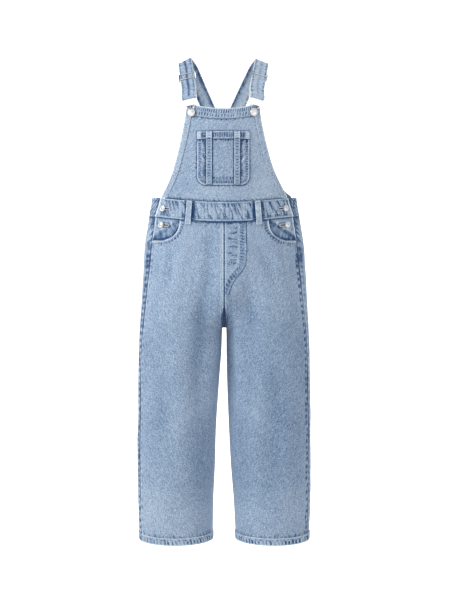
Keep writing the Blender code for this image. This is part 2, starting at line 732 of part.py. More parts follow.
def wire(name, points, radius, finish, matrix, cyclic=False):
    """A bent wire through a list of points given in millimetres."""
    curve = bpy.data.curves.new(name, "CURVE")
    curve.dimensions = "3D"
    curve.bevel_depth = radius
    curve.bevel_resolution = 2
    curve.use_fill_caps = True
    line = curve.splines.new("POLY")
    line.points.add(len(points) - 1)
    for spot, point in zip(line.points, points):
        spot.co = (*(value * MM for value in point), 1.0)
    line.use_cyclic_u = cyclic
    curve.materials.append(finish)
    made = bpy.data.objects.new(name, curve)
    PARTS.objects.link(made)
    made.matrix_world = matrix
    return made


def plate(name, outlines, thickness, finish, matrix):
    """A flat plate with holes, from closed outlines in millimetres."""
    curve = bpy.data.curves.new(name, "CURVE")
    curve.dimensions = "2D"
    curve.fill_mode = "BOTH"
    curve.extrude = thickness / 2
    for outline in outlines:
        line = curve.splines.new("POLY")
        line.points.add(len(outline) - 1)
        for spot, point in zip(line.points, outline):
            spot.co = (point[0] * MM, point[1] * MM, 0, 1.0)
        line.use_cyclic_u = True
    curve.materials.append(finish)
    made = bpy.data.objects.new(name, curve)
    PARTS.objects.link(made)
    made.matrix_world = matrix
    return made


def mirrored(corners, up):
    """A closed outline from its right half, moved up."""
    left = [(-corner.across, up + corner.up) for corner in reversed(corners)]
    return [(corner.across, up + corner.up) for corner in corners] + left


def clips(finish):
    """Each strap's clip: a plate that the strap folds over, and a wire loop round the button's neck."""
    for word, side in SIDES.items():
        across, up, out, seat = clip_frame(side)
        axes = Matrix((across * side, up, out)).transposed().to_4x4()
        at_plate = Matrix.Translation(seat + out * CLIP_OUT) @ axes
        outlines = [mirrored(corners, CLIP_REACH / MM) for corners in (PLATE_RIM, PLATE_SLOT)]
        plate(f"clip_plate_{word}", outlines, PLATE_THICKNESS, finish, at_plate)
        at_loop = Matrix.Translation(seat + out * (ON_PANEL + SEAM + 1.1 * LOOP_WIRE)) @ axes
        arc = [(LOOP_RING * sin(angle), -LOOP_RING * cos(angle)) for angle in
               ((pi - LOOP_OPEN) * (k / 6 - 1) for k in range(13))]
        line = [(-x, y) for x, y in LOOP_END] + arc + [(x, y) for x, y in reversed(LOOP_END)]
        wire(f"clip_loop_{word}", [(x, y, 0) for x, y in line], LOOP_WIRE, finish, at_loop)


def box(bm, size, middle):
    made = bmesh.ops.create_cube(bm, size=1.0)["verts"]
    for vert in made:
        vert.co = Vector((vert.co.x * size[0], vert.co.y * size[1], vert.co.z * size[2])) + Vector(middle)


def sliders(finish):
    """Each strap's length adjuster: two cheeks beside the strap, and three bars across it."""
    for word, side in SIDES.items():
        line = strap_layers(side)[2]
        height = SLIDERS[word]
        k = next(i for i in range(1, len(line)) if line[i][0].z > height)
        share = (height - line[k - 1][0].z) / (line[k][0].z - line[k - 1][0].z)
        place = line[k - 1][0].lerp(line[k][0], share)
        out = strap_normal(line, k)
        width = (line[k][1] - out * line[k][1].dot(out)).normalized()
        length = out.cross(width)
        cover = 1 if side < 0 else -1
        bar_out = STRAP_CLOTH / 2 + SEAM + SLIDER_BAR_DEPTH / 2
        axes = Matrix((width, length, out)).transposed().to_4x4()
        matrix = Matrix.Translation(place) @ axes
        reach = STRAP_WIDTH / 2 + SLIDER_PLAY
        bm = bmesh.new()
        for end in (-1, 1):
            box(bm, SLIDER_CHEEK, (end * (reach + SLIDER_CHEEK[0] / 2), 0, 0))
        bar = (2 * reach + SLIDER_CHEEK[0] / 2, SLIDER_BAR, SLIDER_BAR_DEPTH)
        for place in (-SLIDER_BAR_REACH, SLIDER_BAR_REACH):
            box(bm, bar, (0, place, cover * bar_out))
        made = add_mesh(f"slider_{word}", bm, finish)
        bm = bmesh.new()
        box(bm, bar, (0, 0, -cover * bar_out))
        middle_bar = add_mesh(f"slider_bar_{word}", bm, finish)
        middle_bar.hide_render = True
        middle_bar.display_type = "WIRE"
        made.matrix_world = middle_bar.matrix_world = matrix
        join = made.modifiers.new("join", "BOOLEAN")
        join.operation = "UNION"
        join.object = middle_bar
        join.use_self = True


def main():
    denim = material("denim", (0.36, 0.47, 0.62), 0.9)
    denim_worn = material("denim_worn", (0.44, 0.54, 0.68), 0.9)
    denim_deep = material("denim_deep", (0.26, 0.37, 0.53), 0.9)
    metal = material("bright_metal", (0.82, 0.83, 0.85), 0.25, 1.0)

    bib_front("bib_front", denim)
    bib_top_hem("bib_top_hem", denim_worn)
    bib_pocket("bib_pocket", denim)
    pocket_band("bib_pocket_band", denim_worn)
    for word, middle in STRIP_PLACES.items():
        pocket_strip(f"bib_pocket_strip_{word}", middle, denim_worn)
    front_waistband("waistband_front", denim_worn)
    back_waistband("waistband_back", denim_worn)
    back_bib("back_bib", denim)
    for word, side in SIDES.items():
        bib_side_hem(f"bib_side_hem_{word}", side, denim_worn)
        front_leg(f"front_leg_{word}", side, denim)
        back_leg(f"back_leg_{word}", side, denim)
        pocket_facing(f"pocket_facing_{word}", side, denim_deep)
        belt_loop(f"belt_loop_{word}", side, LOOP_ANGLES[word], denim_worn)
        strap(f"strap_{word}", side, denim_worn)
        for face in ("front", "back"):
            hem_band(f"hem_{face}_{word}", side, face, denim_worn)
    buttons(metal)
    clips(metal)
    sliders(metal)


for old in list(bpy.data.objects):
    bpy.data.objects.remove(old, do_unlink=True)
PARTS = bpy.data.collections.new("dungarees")
bpy.context.scene.collection.children.link(PARTS)
main()
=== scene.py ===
# %% [markdown]
# # A child's denim dungarees
# Dungarees are jeans with a bib. They are cut flat, sewn, stone-washed and then filled out by the body
# that wears them, so nearly every surface here is a sheet of cloth bent round an oval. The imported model
# gives the true size and the place of each piece. This lesson dresses it: fine cloth with its puckers,
# creases and stitches in place of the plain walls, and polished metal in place of the plain trim.

# %% Load the frame
from collections import namedtuple
from math import cos, pi, radians, sin

import bmesh
import bpy
import numpy as np
from mathutils import Matrix, Vector
from mathutils.bvhtree import BVHTree


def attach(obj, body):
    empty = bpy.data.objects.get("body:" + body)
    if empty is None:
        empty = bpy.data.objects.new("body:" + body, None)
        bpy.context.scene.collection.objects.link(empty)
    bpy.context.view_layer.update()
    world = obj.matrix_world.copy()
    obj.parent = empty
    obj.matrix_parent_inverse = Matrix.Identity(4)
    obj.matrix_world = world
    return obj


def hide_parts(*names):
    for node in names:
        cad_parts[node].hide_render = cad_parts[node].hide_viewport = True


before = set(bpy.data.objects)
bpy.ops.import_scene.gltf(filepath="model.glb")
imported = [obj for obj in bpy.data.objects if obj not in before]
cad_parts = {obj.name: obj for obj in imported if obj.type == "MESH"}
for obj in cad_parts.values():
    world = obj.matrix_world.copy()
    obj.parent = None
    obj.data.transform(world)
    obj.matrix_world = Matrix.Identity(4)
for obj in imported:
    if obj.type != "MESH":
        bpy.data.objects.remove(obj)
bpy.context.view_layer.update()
MM = 0.001


# %% Objects and their places
def add_object(name, data):
    made = bpy.data.objects.new(name, data)
    bpy.context.collection.objects.link(made)
    return made


def finished_mesh(name, bm, *finishes):
    """A smooth mesh from a bmesh, which is freed, with its materials in order."""
    mesh = bpy.data.meshes.new(name)
    bm.to_mesh(mesh)
    bm.free()
    mesh.shade_smooth()
    for finish in finishes:
        mesh.materials.append(finish)
    return mesh


def standing_on(place, way):
    """The matrix that puts a piece at a place with its own Z along a direction."""
    return Matrix.Translation(place) @ Vector(way).to_track_quat("Z", "Y").to_matrix().to_4x4()


# %% [markdown]
# ## Camera, backdrop and light
# The dungarees hang in the air where shoulders would hold them, so the camera stands level with the hips
# and looks straight at the front. A long curved sheet is both floor and wall. It glows evenly, as a lit
# paper roll does, so no horizon shows. One large lamp at the upper left shapes the legs, a weaker one at
# the right opens the shadows, and one behind lights the inside of the back.

# %% Camera
EYE_HEIGHT = -0.510
EYE_DISTANCE = 1.750
EYE_SHIFT = 0.0015      # the two sides of the garment aren't quite alike, so the middle lies off centre

camera = add_object("camera", bpy.data.cameras.new("camera"))
camera.data.lens = 50
camera.data.sensor_fit = "VERTICAL"
camera.data.sensor_height = 36
camera.location = (EYE_SHIFT, -EYE_DISTANCE, EYE_HEIGHT)
camera.rotation_euler = (pi / 2, 0, 0)
bpy.context.scene.camera = camera
bpy.context.scene.view_settings.view_transform = "Standard"
print("camera:", EYE_DISTANCE, "m in front, level with", EYE_HEIGHT, "m")


# %% Colours, nodes and materials
def linear(hex_colour):
    """An sRGB hex colour as the linear values that shaders use."""
    parts = [int(hex_colour[i:i + 2], 16) / 255 for i in (1, 3, 5)]
    return (*(c / 12.92 if c <= 0.04045 else ((c + 0.055) / 1.055) ** 2.4 for c in parts), 1.0)


def add_node(tree, kind, inputs=(), **settings):
    """Adds a shader node, sets its options and fills its sockets, in order or by name. Each takes a
    value, another node's socket, or a node, which stands for its first output."""
    node = tree.nodes.new("ShaderNode" + kind)
    for option, value in settings.items():
        setattr(node, option, value)
    for socket, source in inputs.items() if isinstance(inputs, dict) else enumerate(inputs):
        if isinstance(source, bpy.types.Node):
            source = source.outputs[0]
        if isinstance(source, bpy.types.NodeSocket):
            tree.links.new(source, node.inputs[socket])
        else:
            node.inputs[socket].default_value = source
    return node


def set_stops(ramp, stops):
    """Gives a colour ramp its places and hex colours, from low to high."""
    for k, (place, colour) in enumerate(stops):
        stop = ramp.color_ramp.elements[k] if k < 2 else ramp.color_ramp.elements.new(place)
        stop.position, stop.color = place, linear(colour)


def new_material(name, **shader_values):
    """A material whose constant values sit on the Principled shader itself."""
    made = bpy.data.materials.new(name)
    made.use_nodes = True
    shader = made.node_tree.nodes["Principled BSDF"]
    for socket, value in shader_values.items():
        shader.inputs[socket.replace("_", " ")].default_value = value
    return made, made.node_tree, shader


# %% Backdrop
# Matt white paper. Its own glow makes it read as plain white, with no horizon.
FLOOR = -1.45
WALL = 2.6              # metres behind the garment
BEND = 1.2              # radius of the curve from floor to wall
NEAR_EDGE = -4.5
WALL_HEIGHT = 3.5
HALF_WIDTH = 6
FLOOR_SHARE = 0.4       # of the sheet's rows, as many as the bend has
paper, tree, shader = new_material("lit_paper", Roughness=0.9, Base_Color=linear("#FFFFFF"),
                                   Emission_Color=linear("#FFFFFF"), Emission_Strength=0.78)
bm = bmesh.new()
bmesh.ops.create_grid(bm, x_segments=1, y_segments=30, size=1.0)
for vert in bm.verts:
    share = (vert.co.y + 1) / 2
    turn = pi / 2 * min(max((share - FLOOR_SHARE) / FLOOR_SHARE, 0.0), 1.0)
    y = NEAR_EDGE + (WALL - BEND - NEAR_EDGE) * min(share / FLOOR_SHARE, 1.0) + BEND * sin(turn)
    rise = max(share - 2 * FLOOR_SHARE, 0.0) / (1 - 2 * FLOOR_SHARE)
    vert.co = (vert.co.x * HALF_WIDTH, y, FLOOR + BEND * (1 - cos(turn)) + WALL_HEIGHT * rise)
backdrop = add_object("backdrop", finished_mesh("backdrop", bm, paper))
backdrop.visible_diffuse = False    # it is a white ground to look at, and the room lights the cloth
print("backdrop:", len(backdrop.data.polygons), "faces")

# %% The room
# A soft even glow lights the cloth. Polished metal mirrors the room's white walls, which are brighter.
ROOM_GLOW = 0.74
WALLS_IN_METAL = 0.36
WALLS_IN_VIEW = 0.4
world = bpy.data.worlds.new("studio")
world.use_nodes = True
tree = world.node_tree
sky = tree.nodes["Background"]
sky.inputs["Color"].default_value = (1.0, 1.0, 1.0, 1.0)
ray = add_node(tree, "LightPath")
glow = add_node(tree, "Math", (ray.outputs["Is Glossy Ray"], WALLS_IN_METAL, ROOM_GLOW),
                operation="MULTIPLY_ADD")
seen = add_node(tree, "Math", (ray.outputs["Is Camera Ray"], WALLS_IN_VIEW, glow), operation="MULTIPLY_ADD")
tree.links.new(seen.outputs[0], sky.inputs["Strength"])
bpy.context.scene.world = world

# %% Lamps
Lamp = namedtuple("Lamp", "name place aim width height power")
for lamp in (
    Lamp("key", place=(-1.9, -1.1, 0.45), aim=(0, 0, -0.5), width=0.7, height=1.2, power=27),
    Lamp("fill", place=(1.6, -1.9, -0.3), aim=(0, 0, -0.55), width=1.4, height=1.8, power=3),
    Lamp("behind", place=(0.9, 2.1, 0.5), aim=(0, 0, -0.5), width=1.2, height=1.4, power=14),
):
    data = bpy.data.lights.new(lamp.name, "AREA")
    data.shape = "RECTANGLE"
    data.size, data.size_y = lamp.width, lamp.height
    data.energy = lamp.power
    made = add_object(lamp.name, data)
    made.location = lamp.place
    made.rotation_euler = (Vector(lamp.aim) - Vector(lamp.place)).to_track_quat("-Z", "Y").to_euler()
    print(f"lamp {lamp.name}: {lamp.power} W")

# %% [markdown]
# ## Stone-washed denim
# Denim is a twill: indigo warp threads over white weft. The warp yarn is uneven, so it shows as short
# vertical slubs, paler and darker. Washing with pumice takes dye off whatever stands proud, which is the
# crests of puckers, the folded edges and the ridge along a seam, and leaves it in the valleys. So the
# colour here is one tone between deep indigo and near white, and each effect moves that tone: slubs
# 2 mm across and 13 mm long, the twill's slanted ribs, an even grain, clouds of 8 mm, a soft mottle half
# as wide as a hand, the relief and painted shade stored on the cloth, and the distance to its edges. Besides
# the wash, the stored values hold painted shade: darker in crease troughs, at the crotch, and where one piece
# lies on or beside another. The true thread is 0.5 mm, too fine to show from here, so ribs and grain are
# drawn three times as coarse.

# %% The weave and the wash, as layers of noise
Noise = namedtuple("Noise", "across along seed detail turn weight")
LAYERS = {      # sizes on the cloth in metres, the turn in degrees, and how far each moves the tone
    "slub": Noise(across=1.8 * MM, along=13 * MM, seed=3.1, detail=2, turn=0, weight=0.65),
    "twill": Noise(across=1.5 * MM, along=5.5 * MM, seed=7.7, detail=2, turn=35, weight=1.35),
    "grain": Noise(across=1.6 * MM, along=1.6 * MM, seed=11.9, detail=1, turn=0, weight=2.3),
    "cloud": Noise(across=8 * MM, along=11.2 * MM, seed=14.2, detail=2, turn=0, weight=0.28),
    "mottle": Noise(across=55 * MM, along=93.5 * MM, seed=41.3, detail=1, turn=0, weight=0.2),
    "rope_wander": Noise(across=24 * MM, along=24 * MM, seed=23.5, detail=2, turn=0, weight=16.0),
    "rope_strength": Noise(across=15 * MM, along=15 * MM, seed=29.5, detail=2, turn=0, weight=4.0),
}
WOVEN = ("slub", "twill", "grain", "cloud")     # these follow a denim's own contrast
print("denim layers:", ", ".join(LAYERS))

# %% Denim
ROPE_PERIOD = 7.5       # millimetres between puckers, along a seam
ROPE_REACH = 8.0        # millimetres, how far they reach from it
ROPE_SLANT = 0.55
ROPE_FALL = 0.3         # what is left of a pucker at its reach
ROPE_USUAL = 0.55       # its middle strength
ROPE_TONE = 0.22
RELIEF_AND_SHADE_TONE = 0.62      # how strongly the stored relief and painted shade move the tone
EDGE_REACH = 1.3        # millimetres of pale wear along an edge
EDGE_FALL = 0.35
EDGE_TONE = 0.13
THREAD_HEIGHT = 0.16 * MM
ROPE_HEIGHT = 0.4 * MM


def denim(name, tone, contrast, deep="#20446F", middle="#92A9C4", pale="#DBE6F0"):
    """Cotton twill: rough, with a little sheen from its loose fibres, and no two threads of one tone."""
    made, tree, shader = new_material(name, Roughness=0.88, Sheen_Weight=0.2, Sheen_Roughness=0.5,
                                      Specular_IOR_Level=0.2)
    lay = add_node(tree, "UVMap", uv_map="cloth")
    noise = {}
    for word, layer in LAYERS.items():
        turned = add_node(tree, "Mapping", {"Vector": lay, "Rotation": (0.0, 0.0, radians(layer.turn))})
        spread = add_node(tree, "Mapping", {"Vector": turned, "Location": (layer.seed,) * 3,
                                            "Scale": (1 / layer.across, 1 / layer.along, 1.0)})
        raw = add_node(tree, "TexNoise", {"Vector": spread, "Scale": 1.0, "Detail": layer.detail,
                                          "Roughness": 0.55})
        weight = layer.weight * (contrast if word in WOVEN else 1.0)
        noise[word] = add_node(tree, "Math", (raw, weight, -weight / 2), operation="MULTIPLY_ADD")
    dye, edge, away, along = (add_node(tree, "Attribute", attribute_name=word).outputs["Fac"]
                              for word in ("dye", "edge", "away", "along"))

    # Roping beside the seams of the large panels, from the distances stored on the cloth
    slanted = add_node(tree, "Math", (away, ROPE_SLANT, along), operation="MULTIPLY_ADD")
    phase = add_node(tree, "Math", (slanted, 2 * pi / ROPE_PERIOD, noise["rope_wander"]),
                     operation="MULTIPLY_ADD")
    wave = add_node(tree, "Math", (phase,), operation="SINE")
    reach = add_node(tree, "Math", (away, ROPE_REACH), operation="DIVIDE")
    squared = add_node(tree, "Math", (reach, reach), operation="MULTIPLY")
    fade = add_node(tree, "Math", (ROPE_FALL, squared), operation="POWER")
    strength = add_node(tree, "Math", (noise["rope_strength"], ROPE_USUAL), operation="ADD")
    strength = add_node(tree, "Math", (strength, 0.0), operation="MAXIMUM")
    rope = add_node(tree, "Math", (wave, fade), operation="MULTIPLY")
    rope = add_node(tree, "Math", (rope, strength), operation="MULTIPLY")

    # The tone: the threads and the wash, then what stands proud or lies deep, with the painted shade stored on
    # the cloth, then the worn edges
    relief = add_node(tree, "Math", (rope, ROPE_TONE, dye), operation="MULTIPLY_ADD")
    edge = add_node(tree, "Math", (edge, EDGE_REACH), operation="DIVIDE")
    edge = add_node(tree, "Math", (EDGE_FALL, edge), operation="POWER")
    total = noise["slub"]
    for word in ("twill", "grain", "cloud", "mottle"):
        total = add_node(tree, "Math", (total, noise[word]), operation="ADD")
    for source, weight in ((relief, RELIEF_AND_SHADE_TONE), (edge, EDGE_TONE)):
        total = add_node(tree, "Math", (source, weight, total), operation="MULTIPLY_ADD")
    total = add_node(tree, "Math", (total, tone), operation="ADD")
    dyed = add_node(tree, "ValToRGB", (total,))
    set_stops(dyed, ((0.0, deep), (0.5, middle), (1.0, pale)))
    tree.links.new(dyed.outputs["Color"], shader.inputs["Base Color"])

    threads = add_node(tree, "Math", (noise["slub"], noise["twill"]), operation="ADD")
    threads = add_node(tree, "Math", (threads, noise["grain"]), operation="ADD")
    ropes = add_node(tree, "Math", (rope, ROPE_HEIGHT), operation="MULTIPLY")
    height = add_node(tree, "Math", (threads, THREAD_HEIGHT, ropes), operation="MULTIPLY_ADD")
    bump = add_node(tree, "Bump", {"Strength": 1.0, "Distance": 1.0, "Height": height})
    tree.links.new(bump.outputs["Normal"], shader.inputs["Normal"])
    return made


DENIM = denim("denim_stonewashed_twill", 0.50, 0.55)
DENIM_WORN = denim("denim_doubled_and_worn", 0.52, 0.55)    # folded double, it rubs harder in the wash
DENIM_DEEP = denim("denim_less_faded", 0.34, 0.55)          # sheltered by the pocket's mouth
# far darker than any washed denim: painted shade for the seam allowances seen in the crotch's gap
DENIM_SEAM_SHADED = denim("denim_unfaded_seam_allowance", 0.25, 0.5, "#14233F", "#2F4B78", "#7F97B8")
DENIM_INSIDE = denim("denim_reverse_side", 0.42, 0.5, "#5D7597", "#8F9FB5", "#D5DCE3")     # more weft shows
print("denims:", ", ".join(made.name for made in (DENIM, DENIM_WORN, DENIM_DEEP, DENIM_SEAM_SHADED, DENIM_INSIDE)))

# %% [markdown]
# ## The form that the cloth follows
# At each height the cloth goes round an oval: one ring for the trunk, one for each leg. The two go over
# into each other at the crotch. The tables are the same as the solids', because the fine cloth has to
# lie where the solids are, and numpy reads them for thousands of points at once. From here on every
# length is in millimetres, and a mesh is scaled to metres when it is made.

# %% Cloth sizes
CLOTH = 1.3
BAND_CLOTH = 2.4       # two thicknesses and the turned edges
STRAP_CLOTH = 2.2
SEAM = 0.3             # the gap between pieces that touch
ON_PANEL = SEAM + CLOTH     # how far out a second layer lies
LAP = CLOTH + 2 * SEAM      # how far in a layer behind lies
BAND_PROUD = 0.8
UNDERLAP = 3.7         # how deep the back lies where the front laps over it
WAIST = -296.5
WAIST_DIP = 17         # how far the waist dips at the middle of the front
WAIST_RISE = 6
BAND = 38.5
SCOOP_END = -386       # foot of the hip pocket's mouth and of the side opening
FORK = -490            # where the trunk's ring starts to part into the legs'
CROTCH = -567
LEG_START = -420
LEG_WHOLE = -640
HEM = -1008
LEG_HEM = 15
LEG_AXIS = 90          # the middle of a leg, from the middle of the body
SIDE_TRUNK = radians(65)
SIDE_LEG = radians(155)
BAND_END = radians(60)
UNDER_SHARE = 0.06          # how far the back carries on under the front, as a share of its width
SIDES = {"right": -1, "left": 1}
WORD_FOR = {side: word for word, side in SIDES.items()}

Ring = namedtuple("Ring", "z half_width front back")
TRUNK = (
    Ring(z=-110, half_width=148, front=88, back=92),
    Ring(z=-200, half_width=148, front=87, back=90),
    Ring(z=-297, half_width=151, front=80, back=81),
    Ring(z=-338, half_width=157.5, front=81, back=85),
    Ring(z=-390, half_width=166, front=86, back=94),
    Ring(z=-440, half_width=169.5, front=90, back=101),
    Ring(z=-490, half_width=173.5, front=92, back=103),
    Ring(z=-567, half_width=178.2, front=88, back=96),
    Ring(z=-640, half_width=180, front=78, back=84),
)
Leg = namedtuple("Leg", "z outer inner_right inner_left front back")
LEG = (
    Leg(z=-420, outer=168, inner_right=0.4, inner_left=0.4, front=91, back=101),
    Leg(z=-490, outer=173.5, inner_right=1, inner_left=1, front=87, back=96),
    Leg(z=-567, outer=178.2, inner_right=3.2, inner_left=3, front=80, back=87),
    Leg(z=-628, outer=179.7, inner_right=6.9, inner_left=5, front=75, back=80),
    Leg(z=-678, outer=180.5, inner_right=11, inner_left=6, front=72, back=76),
    Leg(z=-779, outer=181.6, inner_right=17.4, inner_left=9.9, front=68, back=71),
    Leg(z=-855, outer=181.5, inner_right=19.5, inner_left=14, front=66, back=68),
    Leg(z=-930, outer=180.6, inner_right=23, inner_left=20, front=64, back=65),
    Leg(z=-1008, outer=177.6, inner_right=24, inner_left=24.2, front=63, back=63),
)


# %% Smooth curves
def smooth(share):
    """0 below 0, 1 above 1 and an easy curve between."""
    share = np.clip(share, 0.0, 1.0)
    return share * share * (3 - 2 * share)


def beyond(value, start, over):
    """0 up to a start, 1 from a little past it, and an easy curve between."""
    return smooth((value - start) / over)


def bend(start, end, slope0, slope1, share):
    """A smooth curve's values between two points, from its slopes there over the whole step."""
    rest = 1 - share
    return (start * ((1 + 2 * share) * rest ** 2) + slope0 * (share * rest ** 2)
            + end * (share ** 2 * (3 - 2 * share)) - slope1 * (share ** 2 * rest))


def read(table, column, z):
    """A column's values at many heights, by a smooth curve through the rows."""
    heights = np.array([row.z for row in table])
    values = np.array([getattr(row, column) for row in table], float)
    slopes = np.empty_like(values)
    slopes[1:-1] = (values[2:] - values[:-2]) / (heights[2:] - heights[:-2])
    slopes[0] = (values[1] - values[0]) / (heights[1] - heights[0])
    slopes[-1] = (values[-1] - values[-2]) / (heights[-1] - heights[-2])
    z = np.clip(z, heights[-1], heights[0])
    k = np.clip(np.searchsorted(-heights, -z, side="right") - 1, 0, len(table) - 2)
    step = heights[k + 1] - heights[k]
    return bend(values[k], values[k + 1], slopes[k] * step, slopes[k + 1] * step, (z - heights[k]) / step)


def fine_line(values, count):
    """Values along a line, filled in by a smooth curve to an even, finer spacing."""
    values = np.array(values)
    slopes = np.gradient(values, axis=0)
    spots = np.linspace(0, len(values) - 1, count)
    k = np.minimum(np.floor(spots).astype(int), len(values) - 2)
    share = (spots - k)[:, None]
    return bend(values[k], values[k + 1], slopes[k], slopes[k + 1], share)


def distances_along(line):
    """How far along a line each of its places lies."""
    return np.concatenate([[0], np.cumsum(np.linalg.norm(np.diff(line, axis=0), axis=1))])


# %% Rings of the trunk and the legs
def oval(side, middle, half, depth, across, outward, z, out):
    """Points on an oval ring, moved out along its normal."""
    nx = across / half
    ny = outward / depth
    length = np.sqrt(nx * nx + ny * ny)
    x = side * (middle + half * across + out * nx / length)
    return np.stack(np.broadcast_arrays(x, -depth * outward - out * ny / length, z), axis=-1)


def trunk(side, z, angle, out=0.0):
    """Places on the trunk's rings. The angle is 0 at the middle of the front, and pi at the back's."""
    depth = np.where(np.cos(angle) > 0, read(TRUNK, "front", z), read(TRUNK, "back", z))
    return oval(side, 0.0, read(TRUNK, "half_width", z), depth, np.sin(angle), np.cos(angle), z, out)


def leg(side, z, angle, out=0.0):
    """Places on a leg's rings. The angle is 0 at the inseam and goes round by the front."""
    outer = read(LEG, "outer", z)
    inner = read(LEG, "inner_left" if side > 0 else "inner_right", z)
    depth = np.where(np.sin(angle) > 0, read(LEG, "front", z), read(LEG, "back", z))
    return oval(side, (outer + inner) / 2, (outer - inner) / 2, depth, -np.cos(angle), np.sin(angle), z, out)


def angle_at(z, x):
    return np.arcsin(np.clip(np.abs(x) / read(TRUNK, "half_width", z), 0, 1))


def waist_shift(angle):
    """How far the waist dips or rises, round the body."""
    swing = np.cos(angle) ** 2
    return np.where(np.cos(angle) > 0, -WAIST_DIP * swing, WAIST_RISE * swing)


def raised(points, shift):
    points[..., 2] += shift
    return points


def halves(u):
    """Which side of the middle a place lies on, and how far toward that side's edge."""
    return np.where(u > 0.5, 1, -1), np.abs(2 * u - 1)


for word, z, ring in (("waist", WAIST, trunk), ("hem", HEM, leg)):
    print(f"{word}: {distances_along(ring(1, z, np.linspace(-pi, pi, 181)))[-1]:.0f} mm round")

# %% Leg panels on the form
TUCK_START = 0.84           # the back goes in under the front from this share of its width,
TUCK_OVER = 0.12
TUCK_BELOW = 45        # and lies level again this far below the side opening
TUCK_RISE = 35
BLEND = 2.6                 # how fast the trunk's ring gives way to the leg's beside the centre seam


def leg_panel(side, face, z, around, out=0.0):
    """Points on a leg panel: around is 0 at the centre seam and inseam, 1 at the side seam."""
    if face == "front":
        trunk_angle = SIDE_TRUNK * around
        leg_angle = SIDE_LEG * around
    else:
        trunk_angle = pi - (pi - SIDE_TRUNK) * around
        leg_angle = 2 * pi - (2 * pi - SIDE_LEG) * around
        tuck = beyond(around, TUCK_START, TUCK_OVER) * beyond(z, SCOOP_END - TUCK_BELOW, TUCK_RISE)
        out = out - tuck * UNDERLAP
    down = np.clip((FORK - z) / (FORK - CROTCH), 0, 1)
    at_seam = 1 - np.sqrt(1 - down * down)
    beside = smooth((LEG_START - z) / (LEG_START - LEG_WHOLE))
    share = (at_seam + (beside - at_seam) * smooth(around * BLEND))[..., None]
    points = trunk(side, z, trunk_angle, out) * (1 - share) + leg(side, z, leg_angle, out) * share
    return raised(points, waist_shift(trunk_angle) * smooth((z - FORK) / (WAIST - BAND - FORK)))


# %% [markdown]
# ## Unevenness, puckers and grooves
# Cloth is never regular. Two small functions give smooth, seeded randomness along a line and over a
# surface. With them come the shapes that sewing presses into denim. A row of tight stitches draws the
# cloth up, and washing shrinks the thread more than the denim, so every band and hem shows roping:
# slanted ripples and dark wedges some 5 to 9 mm apart, and dimples between the stitches. And the cloth
# dips into a seam as into a small ditch. Each of these gives 0 to 1, or -1 to 1, and a piece's own
# relief says how deep it goes and how much dye it keeps. A relief's whole numbers are its seeds.

# %% Randomness that is the same each run
def uneven(along, scale, seed):
    """Smooth values from -1 to 1 that change over about `scale` millimetres."""
    values = np.random.default_rng(seed).uniform(-1, 1, 512)
    spot = np.abs(along) / scale + 0.37
    k = np.floor(spot).astype(int)
    share = smooth(spot - k)
    return values[k % 512] * (1 - share) + values[(k + 1) % 512] * share


def uneven_over(x, y, scale_x, scale_y, seed):
    """The same over a surface."""
    values = np.random.default_rng(seed).uniform(-1, 1, (64, 64))
    spot_x = x / scale_x + 31.3
    spot_y = y / scale_y + 31.7
    i = np.floor(spot_x).astype(int)
    j = np.floor(spot_y).astype(int)
    sx = smooth(spot_x - i)
    sy = smooth(spot_y - j)
    low = values[i % 64, j % 64] * (1 - sx) + values[(i + 1) % 64, j % 64] * sx
    high = values[i % 64, (j + 1) % 64] * (1 - sx) + values[(i + 1) % 64, (j + 1) % 64] * sx
    return low * (1 - sy) + high * sy


# %% Falling off from a line
FAR = 1000.0    # farther than any reach


def near(distance, reach):
    """1 on a line and falling off on both sides of it."""
    return np.exp(-(distance / reach) ** 2)


def fading(distance, reach):
    """1 up to a line and falling off past it."""
    return near(np.maximum(distance, 0), reach)


def within(distance, low, high, soft=0.8):
    """1 between two distances, with soft ends."""
    return smooth((distance - low + soft) / (2 * soft)) * smooth((high - distance + soft) / (2 * soft))


def away_from(points, line, reach):
    """How far points lie from a line of places, and how far along it."""
    line = np.asarray(line)
    lengths = distances_along(line)
    away = np.full(points.shape[:-1], FAR)
    along = np.zeros(points.shape[:-1])
    low = line.min(axis=0) - reach
    high = line.max(axis=0) + reach
    close = np.all((points > low) & (points < high), axis=-1)
    gaps = np.linalg.norm(points[close][:, None, :] - line[None], axis=-1)
    if len(gaps):
        away[close] = gaps.min(axis=1)
        along[close] = lengths[gaps.argmin(axis=1)]
    return away, along


# %% Ripples, wedges and dimples
def ripples(along, across, seed, period=7, slant=0.6):
    """Roping from -1 to 1, along a band; across shifts it so that it slants."""
    drift = uneven(along, 21, seed) * 0.9 + uneven_over(along, across, 30, 12, seed + 5) * 0.25
    strength = 0.66 + 0.34 * uneven(along, 15, seed + 1)
    return strength * np.sin(2 * pi * ((along + slant * across) / period + drift))


def puckers(run, down, height, seed, spacing, reach=(0.5, 1.0), slant=0.5, thick=0.26, both=True):
    """The dark wedges that a shrunken seam draws into a band, from 0 to 1. Each starts at the band's top
    or foot and thins out as it crosses, and none has its neighbour's place, length or strength."""
    rng = np.random.default_rng(seed)
    total = np.zeros(run.shape)
    place = run.min() - spacing
    while place < run.max() + spacing:
        step = spacing * rng.uniform(0.55, 1.45)
        place += step
        length = height * rng.uniform(*reach)
        lean = slant * rng.uniform(0.75, 1.25)
        from_foot = both and rng.random() < 0.45
        bow = rng.uniform(-0.5, 0.5) * step
        strength = rng.uniform(0.45, 1.0)
        way = np.clip((height - down if from_foot else down) / length, 0, 1.2)
        offset = run - place - lean * (down - height / 2) - bow * np.sin(pi * down / height)
        wide = step * thick * (1.15 - 0.75 * np.minimum(way, 1))
        total = np.maximum(total, strength * near(offset, wide) * (1 - beyond(way, 0.55, 0.5)))
    return total * smooth(down + 1) * smooth(height - down + 1)


